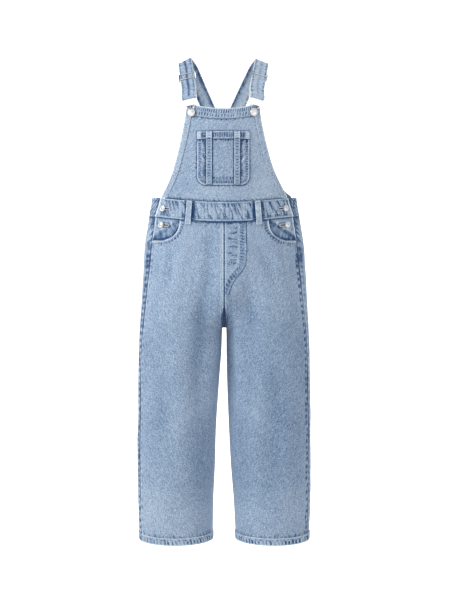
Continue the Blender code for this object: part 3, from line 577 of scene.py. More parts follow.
def beat(along, spacing, seed):
    """The dimples between a tight row's stitches, from 0 to 1: nearly even, as the machine set them."""
    drift = 0.8 * uneven(along, 7 * spacing, seed)
    wave = 0.5 + 0.5 * np.cos(2 * pi * (along / spacing + drift))
    return wave ** 1.5 * (0.76 + 0.24 * uneven(along, 2.2 * spacing, seed + 1))


# %% [markdown]
# ## A sheet of cloth
# Each piece starts as a flat grid from create_grid. The grid is bent onto the body and its true lengths
# are measured there. The relief, worked out from those lengths, then lifts the grid along the surface's
# normal. The lengths also become the UV map, in metres, so the weave keeps its real size, with the warp
# running up the legs and along the bands, as they are cut. A Solidify modifier gives the cloth its wall,
# with the reverse side of the denim on the inside.

# %% Measuring a sheet
SHEETS = {}
Cloth = namedtuple("Cloth", "made points lay out")
# Shares, places, and how far they lie from each edge, from the nearer side and from the nearer end
Lay = namedtuple("Lay", "u v base x z left right top foot sides ends")


def lengths_along(points, axis):
    steps = np.linalg.norm(np.diff(points, axis=axis), axis=-1)
    pad = [(0, 0), (0, 0)]
    pad[axis] = (1, 0)
    return np.cumsum(np.pad(steps, pad), axis=axis)


def laid_out(us, vs, place):
    u, v = np.meshgrid(us, vs)
    base = place(u, v, np.zeros_like(u))
    left = lengths_along(base, 1)
    top = lengths_along(base, 0)
    right = left[:, -1:] - left
    foot = top[-1:] - top
    return Lay(u, v, base, base[..., 0], base[..., 2], left, right, top, foot, np.minimum(left, right),
               np.minimum(top, foot))


def evenly(length, step):
    return np.linspace(0, 1, max(int(round(length / step)), 1) + 1)


def spread(length, fine, coarse, reach=12):
    """Shares from 0 to 1 of a length, fine near both ends and coarse between."""
    spots = [0.0]
    while spots[-1] < length / 2:
        spots.append(spots[-1] + fine + (coarse - fine) * min(spots[-1] / reach, 1.0))
    half = np.array(spots) / spots[-1] / 2
    return np.concatenate([half, 1 - half[-2::-1]])


# %% What the cloth stores for its dye and painted shade
DYE_AND_SHADE_KNEE = -0.6         # past this a mark deepens ever more slowly,
DYE_AND_SHADE_ROOM = 0.42         # and by no more than this, so no mark is solid
NO_SEAM = 100           # where no seam ropes the cloth
PARTED = 3         # where two seams are equally near, within this,
PUSHED = 40        # neither pulls, so the place counts as this much further off


def held_back(dye):
    return np.maximum(dye, DYE_AND_SHADE_KNEE) - DYE_AND_SHADE_ROOM * (1 - np.exp(np.minimum(dye - DYE_AND_SHADE_KNEE, 0) / DYE_AND_SHADE_ROOM))


def seam_distances(lay, seams):
    """How far each place lies from the nearest seam that ropes it, and how far along that seam."""
    away = np.full_like(lay.u, NO_SEAM)
    rival = away
    along = np.zeros_like(lay.u)
    for gap, run in seams(lay) if seams else ():
        closer = gap < away
        rival = np.where(closer, away, np.minimum(rival, gap))
        away = np.where(closer, gap, away)
        along = np.where(closer, run, along)
    return away + PUSHED * near(rival - away, PARTED), along


# %% Bending a grid
def bent_grid(points, weave, stored, axis):
    """A grid on rows of places, with the weave's two lengths as its UV map, the values that its shader
    reads, and its faces pointing away from an axis."""
    rows, columns = points.shape[:2]
    bm = bmesh.new()
    bmesh.ops.create_grid(bm, x_segments=columns - 1, y_segments=rows - 1, size=0.5)
    layers = [(bm.verts.layers.float.new(word), values.ravel()) for word, values in stored.items()]
    uv_layer = bm.loops.layers.uv.new("cloth")
    flat = points.reshape(-1, 3)
    across, down = weave[0].ravel(), weave[1].ravel()
    for vert in bm.verts:
        i = round((vert.co.x + 0.5) * (columns - 1))
        j = round((0.5 - vert.co.y) * (rows - 1))
        vert.index = j * columns + i
        vert.co = flat[vert.index] * MM
        for layer, values in layers:
            vert[layer] = values[vert.index]
    for face in bm.faces:
        for loop in face.loops:
            loop[uv_layer].uv = (across[loop.vert.index] * MM, down[loop.vert.index] * MM)
    bm.normal_update()
    lean = sum(face.normal.x * (face.calc_center_median().x - axis * MM)
               + face.normal.y * face.calc_center_median().y for face in bm.faces)
    if lean < 0:
        bmesh.ops.reverse_faces(bm, faces=bm.faces)
    return bm


def make_sheet(name, us, vs, place, finish, relief, seams=None, grain="down",
               thickness=CLOTH, offset=-1.0, replaced=True, lining=DENIM_INSIDE):
    """Bends a grid onto place(u, v, out). relief(lay) gives the lift and the change of dye and painted shade,
    and seams(lay) gives (distance, place along) for each seam that ropes the cloth."""
    lay = laid_out(us, vs, place)
    height, dye = relief(lay)
    points = place(lay.u, lay.v, height)
    away, along = seam_distances(lay, seams)
    stored = {"dye": held_back(dye), "edge": np.minimum(lay.sides, lay.ends), "away": away, "along": along}
    weave = {"down": (lay.left, lay.z), "across": (lay.z, lay.left), "along": (lay.left, lay.top)}[grain]
    on_leg = name.startswith(("front_leg", "back_leg", "hem_"))
    axis = LEG_AXIS * np.sign(points[..., 0].mean()) if on_leg else 0.0
    bm = bent_grid(points, weave, stored, axis)
    made = add_object(f"{name}_cloth", finished_mesh(name, bm, finish, lining))
    wall = made.modifiers.new("wall", "SOLIDIFY")
    wall.thickness = thickness * MM
    wall.offset = offset
    wall.material_offset = 1
    wall.material_offset_rim = 0
    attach(made, "root")
    if replaced:
        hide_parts(name)
    outward = place(lay.u, lay.v, np.full_like(lay.u, 1)) - lay.base
    outward /= np.linalg.norm(outward, axis=-1)[..., None]
    SHEETS[name] = Cloth(made, points, lay, outward)
    width, length = lay.left[:, -1].max(), lay.top[-1].max()
    print(f"{name}: {len(us) - 1} x {len(vs) - 1} faces, {width:.0f} x {length:.0f} mm of cloth")


# %% [markdown]
# ## The legs
# A leg is a front and a back panel, sewn at the inseam and the side. The front panel's top corner is cut
# away in the curve of the hip pocket's mouth. Wear sets a few soft creases into it, named here one by
# one by where they run, how wide and how deep: long troughs down the thigh where the cloth breaks over
# the leg, and short drags from the crotch. No two are alike, and the back has its own.

# %% Creases
Crease = namedtuple("Crease", "x0 z0 x1 z1 width depth")
CREASES = {
    ("right", "front"): (
        Crease(x0=-30, z0=-370, x1=-30, z1=-520, width=13, depth=-5),
        Crease(x0=-30, z0=-430, x1=-62, z1=-720, width=15, depth=-7.5),
        Crease(x0=-18, z0=-520, x1=-40, z1=-800, width=12, depth=3.5),
        Crease(x0=-76, z0=-365, x1=-100, z1=-500, width=12, depth=4),
        Crease(x0=-106, z0=-400, x1=-112, z1=-500, width=9, depth=-3.2),
        Crease(x0=-128, z0=-560, x1=-122, z1=-840, width=19, depth=-4.2),
        Crease(x0=-92, z0=-560, x1=-88, z1=-930, width=22, depth=2.4),
        Crease(x0=-46, z0=-660, x1=-40, z1=-1060, width=22, depth=-4.6),
    ),
    ("left", "front"): (
        Crease(x0=13, z0=-500, x1=16, z1=-760, width=8, depth=-5),
        Crease(x0=22, z0=-450, x1=33, z1=-760, width=10, depth=4.5),
        Crease(x0=44, z0=-370, x1=36, z1=-450, width=9, depth=2.8),
        Crease(x0=46, z0=-440, x1=60, z1=-600, width=12, depth=-4.2),
        Crease(x0=66, z0=-385, x1=112, z1=-500, width=10, depth=-3.4),
        Crease(x0=86, z0=-380, x1=128, z1=-470, width=8, depth=2.4),
        Crease(x0=110, z0=-600, x1=98, z1=-920, width=20, depth=-4.8),
        Crease(x0=66, z0=-640, x1=62, z1=-980, width=18, depth=3.6),
    ),
    ("right", "back"): (
        Crease(x0=-20, z0=-520, x1=-110, z1=-610, width=13, depth=-7),
        Crease(x0=-12, z0=-540, x1=-84, z1=-660, width=11, depth=3.6),
        Crease(x0=-60, z0=-600, x1=-78, z1=-820, width=17, depth=-6),
        Crease(x0=-112, z0=-430, x1=-98, z1=-560, width=15, depth=-3.6),
        Crease(x0=-104, z0=-700, x1=-112, z1=-960, width=18, depth=3.8),
    ),
    ("left", "back"): (
        Crease(x0=22, z0=-530, x1=118, z1=-600, width=12, depth=-6.4),
        Crease(x0=16, z0=-560, x1=74, z1=-690, width=11, depth=3.2),
        Crease(x0=70, z0=-620, x1=62, z1=-860, width=18, depth=-6),
        Crease(x0=104, z0=-410, x1=118, z1=-540, width=14, depth=-3.4),
        Crease(x0=110, z0=-760, x1=100, z1=-990, width=20, depth=4),
    ),
}


def crease_depth(side, face, base):
    """How far the creases move the cloth out, at many places."""
    total = np.zeros(base.shape[:-1])
    for crease in CREASES[WORD_FOR[side], face]:
        run = np.array([crease.x1 - crease.x0, crease.z1 - crease.z0])
        here = base[..., [0, 2]] - np.array([crease.x0, crease.z0])
        along = here @ run / (run @ run)
        across = np.linalg.norm(here - along[..., None] * run, axis=-1) / crease.width
        total += crease.depth * np.sin(pi * np.clip(along, 0, 1)) * near(across, 1.0)
    return total


for panel, creases in CREASES.items():
    print(*panel, "panel:", len(creases), "creases")

# %% A leg panel's edges
SCOOP_START = 0.53          # where the pocket's mouth meets the waistband, as a share of the panel's width
SCOOP_POWER = 3.0           # how square its curve is
FRONT_WIDTH = 165
BACK_WIDTH = 232
MOUTH_ROWS = 46
PANEL_TOP = WAIST - BAND - SEAM


def scoop_curve(count):
    """The pocket mouth's curve, as shares of the way to the side seam and heights, evenly spaced."""
    turn = np.linspace(0, pi / 2, 600)
    z = PANEL_TOP + (SCOOP_END - PANEL_TOP) * np.sin(turn) ** (2 / SCOOP_POWER)
    end = SCOOP_START + (1 - SCOOP_START) * (1 - np.maximum(np.cos(turn), 0.0) ** (2 / SCOOP_POWER))
    run = distances_along(np.stack([z, end * FRONT_WIDTH], axis=1))
    even = np.linspace(0, run[-1], count)
    return np.interp(even, run, end), np.interp(even, run, z)


def seam_gap(side, face, points, u):
    """Draws a panel's edges back from its seams, as the solids' are."""
    toward = -SEAM if face == "front" else SEAM
    depth = 1 - smooth((FORK - points[..., 2]) / (FORK - CROTCH))
    first = u < 0.001
    last = u > 0.999
    points[..., 0] += np.where(first, side * SEAM * depth, 0)
    points[..., 1] += np.where(first, toward * (1 - depth), 0) + np.where(last, toward, 0)
    return points


def crotch_parting(face, z, u):
    """How far a panel's edge draws back from the middle at the crotch, where the front hangs a little
    open."""
    start, over, most = (514, 34, 1.4) if face == "front" else (556, 11, 2.6)
    return most * beyond(-z, start, over) * (1 - beyond(-z, 562, 66)) * (1 - smooth(u / 0.12))


scoop_ends, scoop_heights = scoop_curve(MOUTH_ROWS)
print(f"hip pocket: a mouth {(PANEL_TOP - SCOOP_END):.0f} mm deep, as {MOUTH_ROWS} rows")


# %% The wear on a leg
# Each function gives the lift and the change of the dye and painted shade. Seeds differ by side, so the two
# legs aren't mirror images.
def above_hem(lay):
    return beyond(lay.z, HEM + 16, 8)


def worn_all_over(side, face, lay):
    """Creases, soft unevenness, and tone that changes over the legs: darker below the hips, the wearer's
    left leg more, and paler low down, beside the side seam and by the inseam.
    """
    z = lay.z
    from_seam = np.clip(lay.u * 8, 0, 1)
    folds = 0.85 * from_seam * crease_depth(side, face, lay.base)
    broad = uneven_over(lay.left, z, 38, 70, 40 + side) * 0.9
    fine = uneven_over(lay.left, z, 15, 26, 50 + side) * 0.35
    # darker in the crease troughs and paler on their crests: partly the wash, partly painted shade and light
    dye = np.where(folds < 0, 0.026, 0.017) * folds + 0.05 * near(lay.right, 14)
    dye += 0.12 * beyond(-z, 860, 100) - (0.15 if side > 0 else 0.06) * beyond(-z, 470, 120)
    dye += 0.2 * near(lay.left, 22) * beyond(-z, 620, 50)
    return (folds + (broad + fine) * from_seam) * above_hem(lay), dye


def side_seam_marks(lay, seed, insets, widths):
    """Dark dashes that a shrunken side seam leaves beside it, each of its own length and strength."""
    rng = np.random.default_rng(seed)
    z = lay.z
    total = np.zeros_like(z)
    place = -405
    while place > HEM + 25:
        place -= rng.uniform(10, 15.5)
        inset = rng.uniform(*insets)
        tall = rng.uniform(2.9, 4.7)
        wide = 1.35 * rng.uniform(*widths)
        strength = rng.uniform(0.8, 1.25)
        total = np.maximum(total, strength * near(lay.right - inset, wide) * near(z - place, tall))
    return total


def side_seam(side, face, lay):
    """The dashes, the groove of the seam itself and the pale ridge over its allowances."""
    z = lay.z
    turned = (face == "back") == (side < 0)     # the allowances lie to one side, so the dashes do too
    where = ((7, 12), (4, 6)) if face == "back" else ((4, 8), (1.8, 2.7))
    marks = side_seam_marks(lay, 55 + side + (face == "back") * 3, *where) * (1.0 if turned else 0.35)
    if face == "front":
        marks = marks * beyond(-z, 385, 20)
    sewn = beyond(-z, -SCOOP_END, 4)
    over = lay.right - 5.5
    lift = (0.45 * near(over, 2.2) - near(lay.right, 1.5)) * sewn * above_hem(lay)
    dye = (0.45 * near(over, 1.6) - (1.0 if side > 0 else 1.4) * near(lay.right, 1.7)) * sewn
    return (lift - (0.9 if face == "front" else 0.5) * marks), dye - 1.6 * marks


def mouth_foot(side, face, lay):
    """The rough dark patch where the pocket's mouth ends in the side seam."""
    z = lay.z
    rough = fading(lay.right - (12 if face == "back" else 0.0), 7) * near(z + 402, 30)
    patchy = 0.65 + 0.7 * uneven_over(lay.right, z, 9, 7, 58 + side)
    return 0.0, -(1.5 if side > 0 else 1.1) * rough * patchy


def tucked_edge(side, lay, ends):
    """The back's edge at the hips, where it is barred by the roping of the front's edge and shaded."""
    z = lay.z
    seen = (1 - lay.u * ends[lay.v.astype(int)]) * BACK_WIDTH       # out from under the front
    tucked = beyond(z, SCOOP_END - 6, 6)
    bars = puckers(-z, seen, 34, 59 + side, 11, slant=0.7, thick=0.3, both=False)
    pale = np.maximum(ripples(z, -seen, 60 + side, 15, 0.8), 0) * fading(seen - 8, 14)
    tug = near(z + 350, 9) * fading(seen - 6, 12) * (0.8 + 0.6 * uneven(z, 5, 57))
    dye = 0.55 * pale - 1.5 * fading(seen, 5) - 1.8 * bars * (seen > -1) - 0.9 * tug
    return 0.0, dye * tucked


def centre_seam(side, lay):
    """A ridge with a dark line where one side folds under the other, a gape at the crotch, and softer
    ones down the inseam. The gape and the crotch round it are painted darker, as painted shade."""
    z = lay.z
    centre = beyond(z, CROTCH - 30, 30)
    inseam = (1 - centre) * above_hem(lay)
    line = near(lay.left, 1.0)
    ridge = near(lay.left - 2.4, 1.2) + 0.6 * near(lay.left - 6.2, 1.2) * (side < 0)
    gape = near(lay.left, 0.5 + 3.8 * beyond(-z, 522, 26)) * beyond(z, -573, 4)
    over = lay.left - 5
    lift = (0.55 * ridge - 0.5 * line) * centre
    lift += (0.45 * near(over, 2.2) - 0.9 * near(lay.left, 1.5)) * inseam
    # the gape at the crotch is painted dark, as the shade between the legs
    dye = (0.5 * ridge - 1.15 * line) * centre - 1.5 * gape * (z < -522)
    dye += (0.4 * near(over, 1.8) - 0.9 * near(lay.left, 1.8)) * inseam
    # painted shade round the crotch
    return lift, dye - 0.35 * near(lay.left, 12) * near(z - CROTCH - 6, 30)


def tugged_ends(side, lay):
    """The waistband puckers the panel's top edge and casts a painted shadow along it, and the hem draws it up
    from below.
    """
    # painted shadow of the waistband: a dark band along the panel's top edge
    shade_under_band = fading(lay.top - 1.3, 2.4) * (0.8 + 0.25 * uneven(lay.left, 30, 63))
    high = puckers(lay.left, lay.top, 17, 65 + side, 10, (0.4, 1.0), thick=0.22, both=False)
    above = lay.foot - LEG_HEM
    low = puckers(lay.left, above, 12, 66 + side, 8, (0.35, 0.9), 0.0, 0.28, both=False)
    return -0.5 * high, -1.5 * shade_under_band - 0.45 * high - 0.75 * low * beyond(above, -1, 1)


# %% The hip pocket's mouth
MOUTH_ROW_INSETS = (2.2, 8.2)     # its two rows of stitches


def mouth_edge(side, lay, mouth):
    """A pale turned edge, two rows of stitches and the puckers below them."""
    away, along = away_from(lay.base, mouth, 22)
    sewn = sum(near(away - inset, 0.9) for inset in MOUTH_ROW_INSETS)
    long = 9 + 2.5 * uneven(along, 8, 68 + side)
    marks = beat(along + 0.25 * side * away, 5.2, 67 + side) * within(away, 3.2, long)
    marks = marks * smooth(along / 12)
    edge = fading(away - 0.8, 1.4)
    return (0.25 * edge - 0.5 * marks - 0.2 * sewn), -1.5 * marks + 0.15 * sewn + 0.65 * edge


# %% The mock fly
# Its outer row of stitches, as places on the front of the wearer's left leg
Spot = namedtuple("Spot", "x z")
FLY_LINE = (Spot(43, -352), Spot(43, -400), Spot(42.5, -425), Spot(40, -440),
            Spot(35, -451), Spot(25.5, -463), Spot(17.5, -474), Spot(11.5, -487),
            Spot(7.5, -500))
FLY_WIDTH = 14     # between its two rows


def fly_curve(count, inward=0.0):
    """The fly's row of stitches as evenly spaced places on the panel, or one as far inward as asked."""
    spots = fine_line([(spot.x, spot.z) for spot in FLY_LINE], 120)
    tangents = np.gradient(spots, axis=0)
    tangents /= np.linalg.norm(tangents, axis=1)[:, None]
    spots = spots + inward * np.stack([tangents[:, 1], -tangents[:, 0]], axis=1)
    spots = spots[spots[:, 0] > 2.5]
    run = distances_along(spots)
    even = np.linspace(0, run[-1], count)
    x, z = np.interp(even, run, spots[:, 0]), np.interp(even, run, spots[:, 1])
    return trunk(1, z, angle_at(z, x))


def mock_fly(lay):
    """A raised field between its rows of stitches, with puckers across it and shade outside."""
    curve = fly_curve(260)
    away, along = away_from(lay.base, curve, 60)
    x = lay.x
    z = lay.z
    limit = np.interp(-z, -curve[:, 2], curve[:, 0])
    found = away < FAR
    inset = np.where((x < limit) & found, away, -away)
    outer = near(inset, 1.0)
    inner = near(inset - FLY_WIDTH, 0.9)
    bars = beat(along + 0.25 * inset, 6.4, 71) * within(inset, 2.6, 11.4)
    bars = bars * (0.75 + 0.4 * uneven_over(along, inset, 13, 5, 73))
    field = puckers(along, inset - FLY_WIDTH, 26, 72, 8.6, (0.6, 1.0), 0.05, 0.19)
    field = field * beyond(inset, FLY_WIDTH + 2, 2) * beyond(x, 6, 3)
    step = beyond(inset, -1, 1.5) * beyond(x, 3, 3) * found
    lift = 0.35 * step - 0.55 * bars - 0.35 * field - 0.25 * (outer + inner)
    shade = near(inset + 1.6, 1.2)
    return lift, 0.45 * outer + 0.15 * inner - 1.35 * bars - 1.15 * field - 0.9 * shade


# %% Leg panels
def leg_piece(word, side, face):
    rows_below = np.linspace(SCOOP_END, HEM, 236)[1:]
    if face == "front":
        heights = np.concatenate([scoop_heights, rows_below])
        ends = np.concatenate([scoop_ends, np.ones(len(rows_below))])
    else:
        heights = np.concatenate([np.linspace(PANEL_TOP, SCOOP_END, 22), rows_below])
        ends = 1 + UNDER_SHARE * beyond(heights, SCOOP_END - 2, 8)

    def place(u, v, out):
        row = v.astype(int)
        points = seam_gap(side, face, leg_panel(side, face, heights[row], u * ends[row], out), u)
        points[..., 0] += side * crotch_parting(face, heights[row], u)
        return points

    def relief(lay):
        effects = [worn_all_over(side, face, lay), side_seam(side, face, lay), mouth_foot(side, face, lay),
                   centre_seam(side, lay), tugged_ends(side, lay)]
        if face == "back":
            effects.append(tucked_edge(side, lay, ends))
        else:
            effects.append(mouth_edge(side, lay, leg_panel(side, "front", scoop_heights, scoop_ends)))
            if side > 0:
                effects.append(mock_fly(lay))
        return sum(lift for lift, _ in effects), sum(dye for _, dye in effects)

    make_sheet(f"{face}_leg_{word}", spread(240, 0.8, 2.6), np.arange(len(heights)), place,
               DENIM, relief)


for word, side in SIDES.items():
    for face in ("front", "back"):
        leg_piece(word, side, face)

# %% [markdown]
# ## Pocket mouths and hems
# The cloth seen in a hip pocket's mouth is a facing that carries on up to the waistband. It is washed
# less, being sheltered, so it is a little deeper in tone. The hems are turned up twice and sewn once,
# and they rope strongly.

# %% Side buttonholes
SIDE_BUTTON_ANGLE = radians(54)
SIDE_BUTTON_HEIGHTS = {"upper": -322.5, "lower": -356}
BUTTONHOLE_TURN = 0.135      # radians round the body, about 15 mm


def buttonhole(side, place, count=12):
    """A side button's hole as a line of places, from behind the button toward the middle of the front."""
    angles = SIDE_BUTTON_ANGLE - np.linspace(0.0, 1.0, count) * BUTTONHOLE_TURN
    level = SIDE_BUTTON_HEIGHTS[place] - waist_shift(SIDE_BUTTON_ANGLE)
    return raised(trunk(side, level, angles, BAND_PROUD if place == "upper" else -LAP), waist_shift(angles))


def slit_marks(lay, side, place, shade):
    """How far places lie from a buttonhole's slit, and the lift beside it, with the slit and its edges painted
    darker as shade.
    """
    slit, _ = away_from(lay.base, buttonhole(side, place), 9)
    return slit, -0.5 * near(slit, 2.5), -1.6 * near(slit, 1.3) - shade * near(slit, 5)


print(f"buttonholes: {distances_along(buttonhole(1, 'upper'))[-1]:.1f} mm long")


# %% Pocket facings
def facing(word, side):
    foot = SCOOP_END - 4
    ends, heights = scoop_curve(60)
    mouth = leg_panel(side, "front", heights, ends, -LAP)

    def place(u, v, out):
        return leg_panel(side, "front", PANEL_TOP + (foot - PANEL_TOP) * v, 0.44 + 0.56 * u, out - LAP)

    def relief(lay):
        # slanted drags, and the shade of the waistband and of the mouth's edge
        drags = ripples(lay.left + 1.1 * lay.top, lay.left - lay.top, 60 + side, 19, 0.3)
        drags = 0.7 * drags * smooth(lay.top / 16)
        away, along = away_from(lay.base, mouth, 60)
        shade = near(away, 5.5) * (0.75 + 0.45 * uneven(along, 9, 61 + side))
        band = near(lay.top, 1.5)
        lift = 0.8 * drags + uneven_over(lay.left, lay.top, 16, 12, 64 + side) * 0.4
        dye = (0.1 if side > 0 else 0.02) + 0.28 * drags - 0.9 * shade - band
        # the buttonhole's slit, painted dark as shade, the pale pull round it, and the pale side seam
        slit, slit_lift, slit_dye = slit_marks(lay, side, "lower", 0.5)
        dye += slit_dye + 0.35 * near(slit - 9, 3.5) + 0.9 * near(lay.right - 1.4, 1.8)
        # one deep slanted drag with a pale crest above it, and a rough dark foot
        fall = lay.top - 10 - 0.65 * (lay.left - 24)
        drag = beyond(lay.left, 14, 14) * (0.5 if side > 0 else 0.25)
        dye += drag * (0.7 * near(fall + 8, 3) - 1.1 * near(fall, 5))
        low = beyond(lay.left, 34, 20) * near(lay.foot - 4, 13)
        dye -= 0.45 * low * (0.7 + 0.6 * uneven_over(lay.left, lay.top, 6, 9, 66 + side))
        return lift + slit_lift - 0.4 * band - 0.8 * drag * near(fall, 5), dye

    make_sheet(f"pocket_facing_{word}", evenly(90, 1.2), evenly(53, 1.2), place,
               DENIM_DEEP, relief)


for word, side in SIDES.items():
    facing(word, side)


# %% Hems
HEM_ROW = 2.6


def hem(word, side, face):
    def place(u, v, out):
        return seam_gap(side, face, leg_panel(side, face, HEM + LEG_HEM * (1 - v), u, out + ON_PANEL), u)

    def relief(lay):
        seed = 70 + side + (face == "back") * 5
        low = 5.2 + 1.6 * uneven(lay.left, 9, seed + 2)
        sway = 1.4 * uneven(lay.left, 6, seed + 3) - 0.15 * side * lay.top
        marks = beat(lay.left + sway, 7.6, seed) * within(lay.top, low, 12.8)
        marks = marks * (0.72 + 0.4 * uneven(lay.left, 10, seed + 4))
        small = puckers(lay.left, lay.top, 5, seed, 6.4, (0.6, 1.1), 0.4, 0.22)
        marks = np.maximum(marks, 0.8 * small)
        body = beyond(lay.top, 2, 1.5) * smooth(lay.foot / 1.5)
        wave = ripples(lay.left, lay.top, seed, 6.5)
        sewn = near(lay.top - HEM_ROW, 0.9)
        ends = near(lay.left, 2) + near(lay.right, 2)
        lift = (0.3 * wave - 0.8 * marks) * body - 0.3 * sewn
        edges = 0.35 * near(lay.foot, 1.2) + 0.1 * near(lay.top, 1.3)
        return lift, (0.15 * wave - 1.7 * marks) * body - 0.3 * sewn + edges - 0.8 * ends + 0.2

    make_sheet(f"hem_{face}_{word}", evenly(230, 1.1), evenly(LEG_HEM, 1.0), place,
               DENIM_WORN, relief)


for word, side in SIDES.items():
    for face in ("front", "back"):
        hem(word, side, face)

# %% [markdown]
# ## Waistband and belt loops
# The waistband is two thicknesses with turned edges, in a front and a back length that button together
# at the hips. Its roping is the strongest of all. The belt loops are narrow folded strips over it.

# %% Waistbands
LOOP_WIDTH = 13
LOOP_LENGTH = 48
LOOP_ANGLES = {"right": radians(27.4), "left": radians(26.2)}
BAND_ROW = 3.6         # its two rows of stitches lie this far from its edges
BAND_EDGE = 3          # the wedges start this far in
OVER_BUTTON = 76       # past this, the front's wedges deepen toward the hip buttons
WAIST_HALF = 152          # about how far the waistband lies out to the side and to the front
WAIST_FRONT = 81
ROUND_FRONT = 138      # what a radian of that oval is worth, at the loops
ROUND_HIP = 118        # and at the hips


def wedges(lay, seed, thick, shift=0.0):
    """The waistband's long wedges, or with a shift the pale ridges beside them."""
    return puckers(lay.left - shift, lay.top - BAND_EDGE, BAND - 2 * BAND_EDGE, seed, 8.0,
                   slant=0.75, thick=thick)


def beside_front(lay, angle):
    """What lies on the front waistband: shade beside each belt loop, its pale ends, its buttonholes."""
    lift, dye = 0.0, 1.3 * near(lay.sides - 1.4, 1.9)
    for word, middle in LOOP_ANGLES.items():
        here = np.sign(lay.x) == SIDES[word]
        beside = np.abs(angle - middle) * ROUND_FRONT - LOOP_WIDTH / 2
        lee = (angle - middle) * SIDES[word] > 0
        dye = dye - here * 1.8 * fading(beside, np.where(lee, 4.2, 3.2))
    for side in SIDES.values():
        _, slit_lift, slit_dye = slit_marks(lay, side, "upper", 0.6)
        lift, dye = lift + slit_lift, dye + slit_dye
    return lift, dye


def beside_back(lay, angle, seed):
    """The back waistband's ends, barred and shaded where the front's lap over them."""
    seen = (angle - SIDE_TRUNK - 0.02) * ROUND_HIP
    bars = ripples(lay.top, -seen, seed + 9, 9, 0.8) * fading(seen - 6, 22)
    dye = 1.2 * bars - 1.7 * fading(seen, 4)
    dye -= np.where(lay.x > 0, 0.9, 0.5) * fading(seen, 24)
    return 0.5 * bars, dye


def waistband(face, length, seed):
    def place(u, v, out):
        if face == "front":
            side = 1
            angle = (2 * u - 1) * (BAND_END + (SIDE_TRUNK - BAND_END) * v)
        else:
            side, around = halves(u)
            angle = pi - (pi - SIDE_TRUNK) * (1 + UNDER_SHARE) * around
            out = out - UNDERLAP * beyond(around, 0.80, 0.12)
        return raised(trunk(side, WAIST - BAND * v, angle, BAND_PROUD + out), waist_shift(angle))

    def relief(lay):
        out_wide = np.abs(lay.x)
        small = puckers(lay.left, lay.top - BAND_EDGE, BAND - 2 * BAND_EDGE, seed + 7, 5.6, (0.2, 0.5),
                        0.6, 0.22)
        body = beyond(lay.top, 2.5, 1.5) * beyond(lay.foot, 2.5, 1.5)
        marks = np.maximum(wedges(lay, seed, 0.17), 0.8 * small) * body
        if face == "front":
            marks = marks * (1 + 0.25 * beyond(out_wide, OVER_BUTTON, 8))
        marks = np.minimum(marks, 1.1)
        wave = ripples(lay.left, lay.top, seed, 9, -0.55) * body
        ridges = wedges(lay, seed, 0.16, shift=3.6) * body
        edges = near(lay.top - 1.2, 1.4) + near(lay.foot - 1.2, 1.4)
        sewn = near(lay.top - BAND_ROW, 0.8) + near(lay.foot - BAND_ROW, 0.8)
        dye = 0.08 + 0.2 * wave - 2.0 * marks + 0.9 * ridges + 0.1 * edges - 0.5 * sewn
        dye -= 0.35 * near(lay.top, 1.0) + 0.3 * near(lay.foot, 1.3)
        angle = np.arctan2(out_wide / WAIST_HALF, -lay.base[..., 1] / WAIST_FRONT)
        more = beside_front(lay, angle) if face == "front" else beside_back(lay, angle, seed)
        return (0.45 * wave - marks - 0.3 * sewn) + more[0], dye + more[1]

    make_sheet(f"waistband_{face}", evenly(length, 1.25), evenly(BAND, 1.1), place, DENIM_WORN,
               relief, grain="across", thickness=BAND_CLOTH)


waistband("front", 330, 80)
waistband("back", 470, 90)

# %% Belt loops
LOOP_ARCH = 1.6
LOOP_ROW = 3.4
LOOP_TACK = 4.2        # its bartacks lie this far from its ends


def belt_loop(word, side):
    half = LOOP_WIDTH / 2 / float(read(TRUNK, "half_width", WAIST - BAND / 2))

    def place(u, v, out):
        angle = LOOP_ANGLES[word] + (2 * u - 1) * half
        arch = LOOP_ARCH * np.sin(pi * v)
        points = trunk(side, WAIST - LOOP_LENGTH * v, angle, BAND_PROUD + ON_PANEL + arch + out)
        return raised(points, waist_shift(angle))

    def relief(lay):
        sides = lay.sides
        ends = lay.ends
        rows = near(sides - LOOP_ROW, 0.7) * beyond(ends, 5, 2)
        tacks = near(ends - LOOP_TACK, 1.3) * beyond(sides, 2, 1)
        lift = 0.35 * smooth(sides / 1.5) - 0.25 * rows - 0.35 * tacks
        dye = (0.14 if side < 0 else 0.32) + 0.18 * uneven(lay.top, 6, 96 + side)
        dye += 0.2 * near(sides - 1.8, 1.0) - 0.5 * near(sides, 0.9)
        return lift, dye - 0.3 * rows - 0.55 * tacks

    make_sheet(f"belt_loop_{word}", evenly(LOOP_WIDTH, 0.7), evenly(LOOP_LENGTH, 1.0), place,
               DENIM_WORN, relief, grain="along")


for word, side in SIDES.items():
    belt_loop(word, side)

# %% [markdown]
# ## The bib
# The bib is one panel with a wide turned hem at its top and narrow hems down its slanted sides. A patch
# pocket with a band and two stitched strips sits on it. The back is a narrower panel of the same kind.

# %% Bib sizes
Edge = namedtuple("Edge", "z right left")
BIB_EDGE = (
    Edge(z=-114.5, right=73.5, left=69),
    Edge(z=-154.5, right=80.5, left=75.5),
    Edge(z=-190.5, right=88, left=83.5),
    Edge(z=-238, right=100.5, left=97.2),
    Edge(z=-270, right=112.5, left=112),
    Edge(z=-297, right=127.2, left=127.5),
)
BACK_EDGE = (
    Edge(z=-128, right=40, left=32),
    Edge(z=-175, right=48, left=44),
    Edge(z=-220, right=78, left=80),
    Edge(z=-260, right=106, left=114),
    Edge(z=-290, right=128, left=142),
)
BIB_TOP = -114.5
BIB_SAG = 13
TOP_HEM = 20.5
SIDE_HEM = 12
BACK_TOP = -128


def bib_point(x, z, out=0.0):
    """Points on the front of the body's ring, by how far they lie from the middle."""
    return trunk(np.where(np.asarray(x) < 0, -1, 1), z, angle_at(z, x), out)


def edge_at(table, z, side):
    return np.where(side > 0, read(table, "left", z), read(table, "right", z))


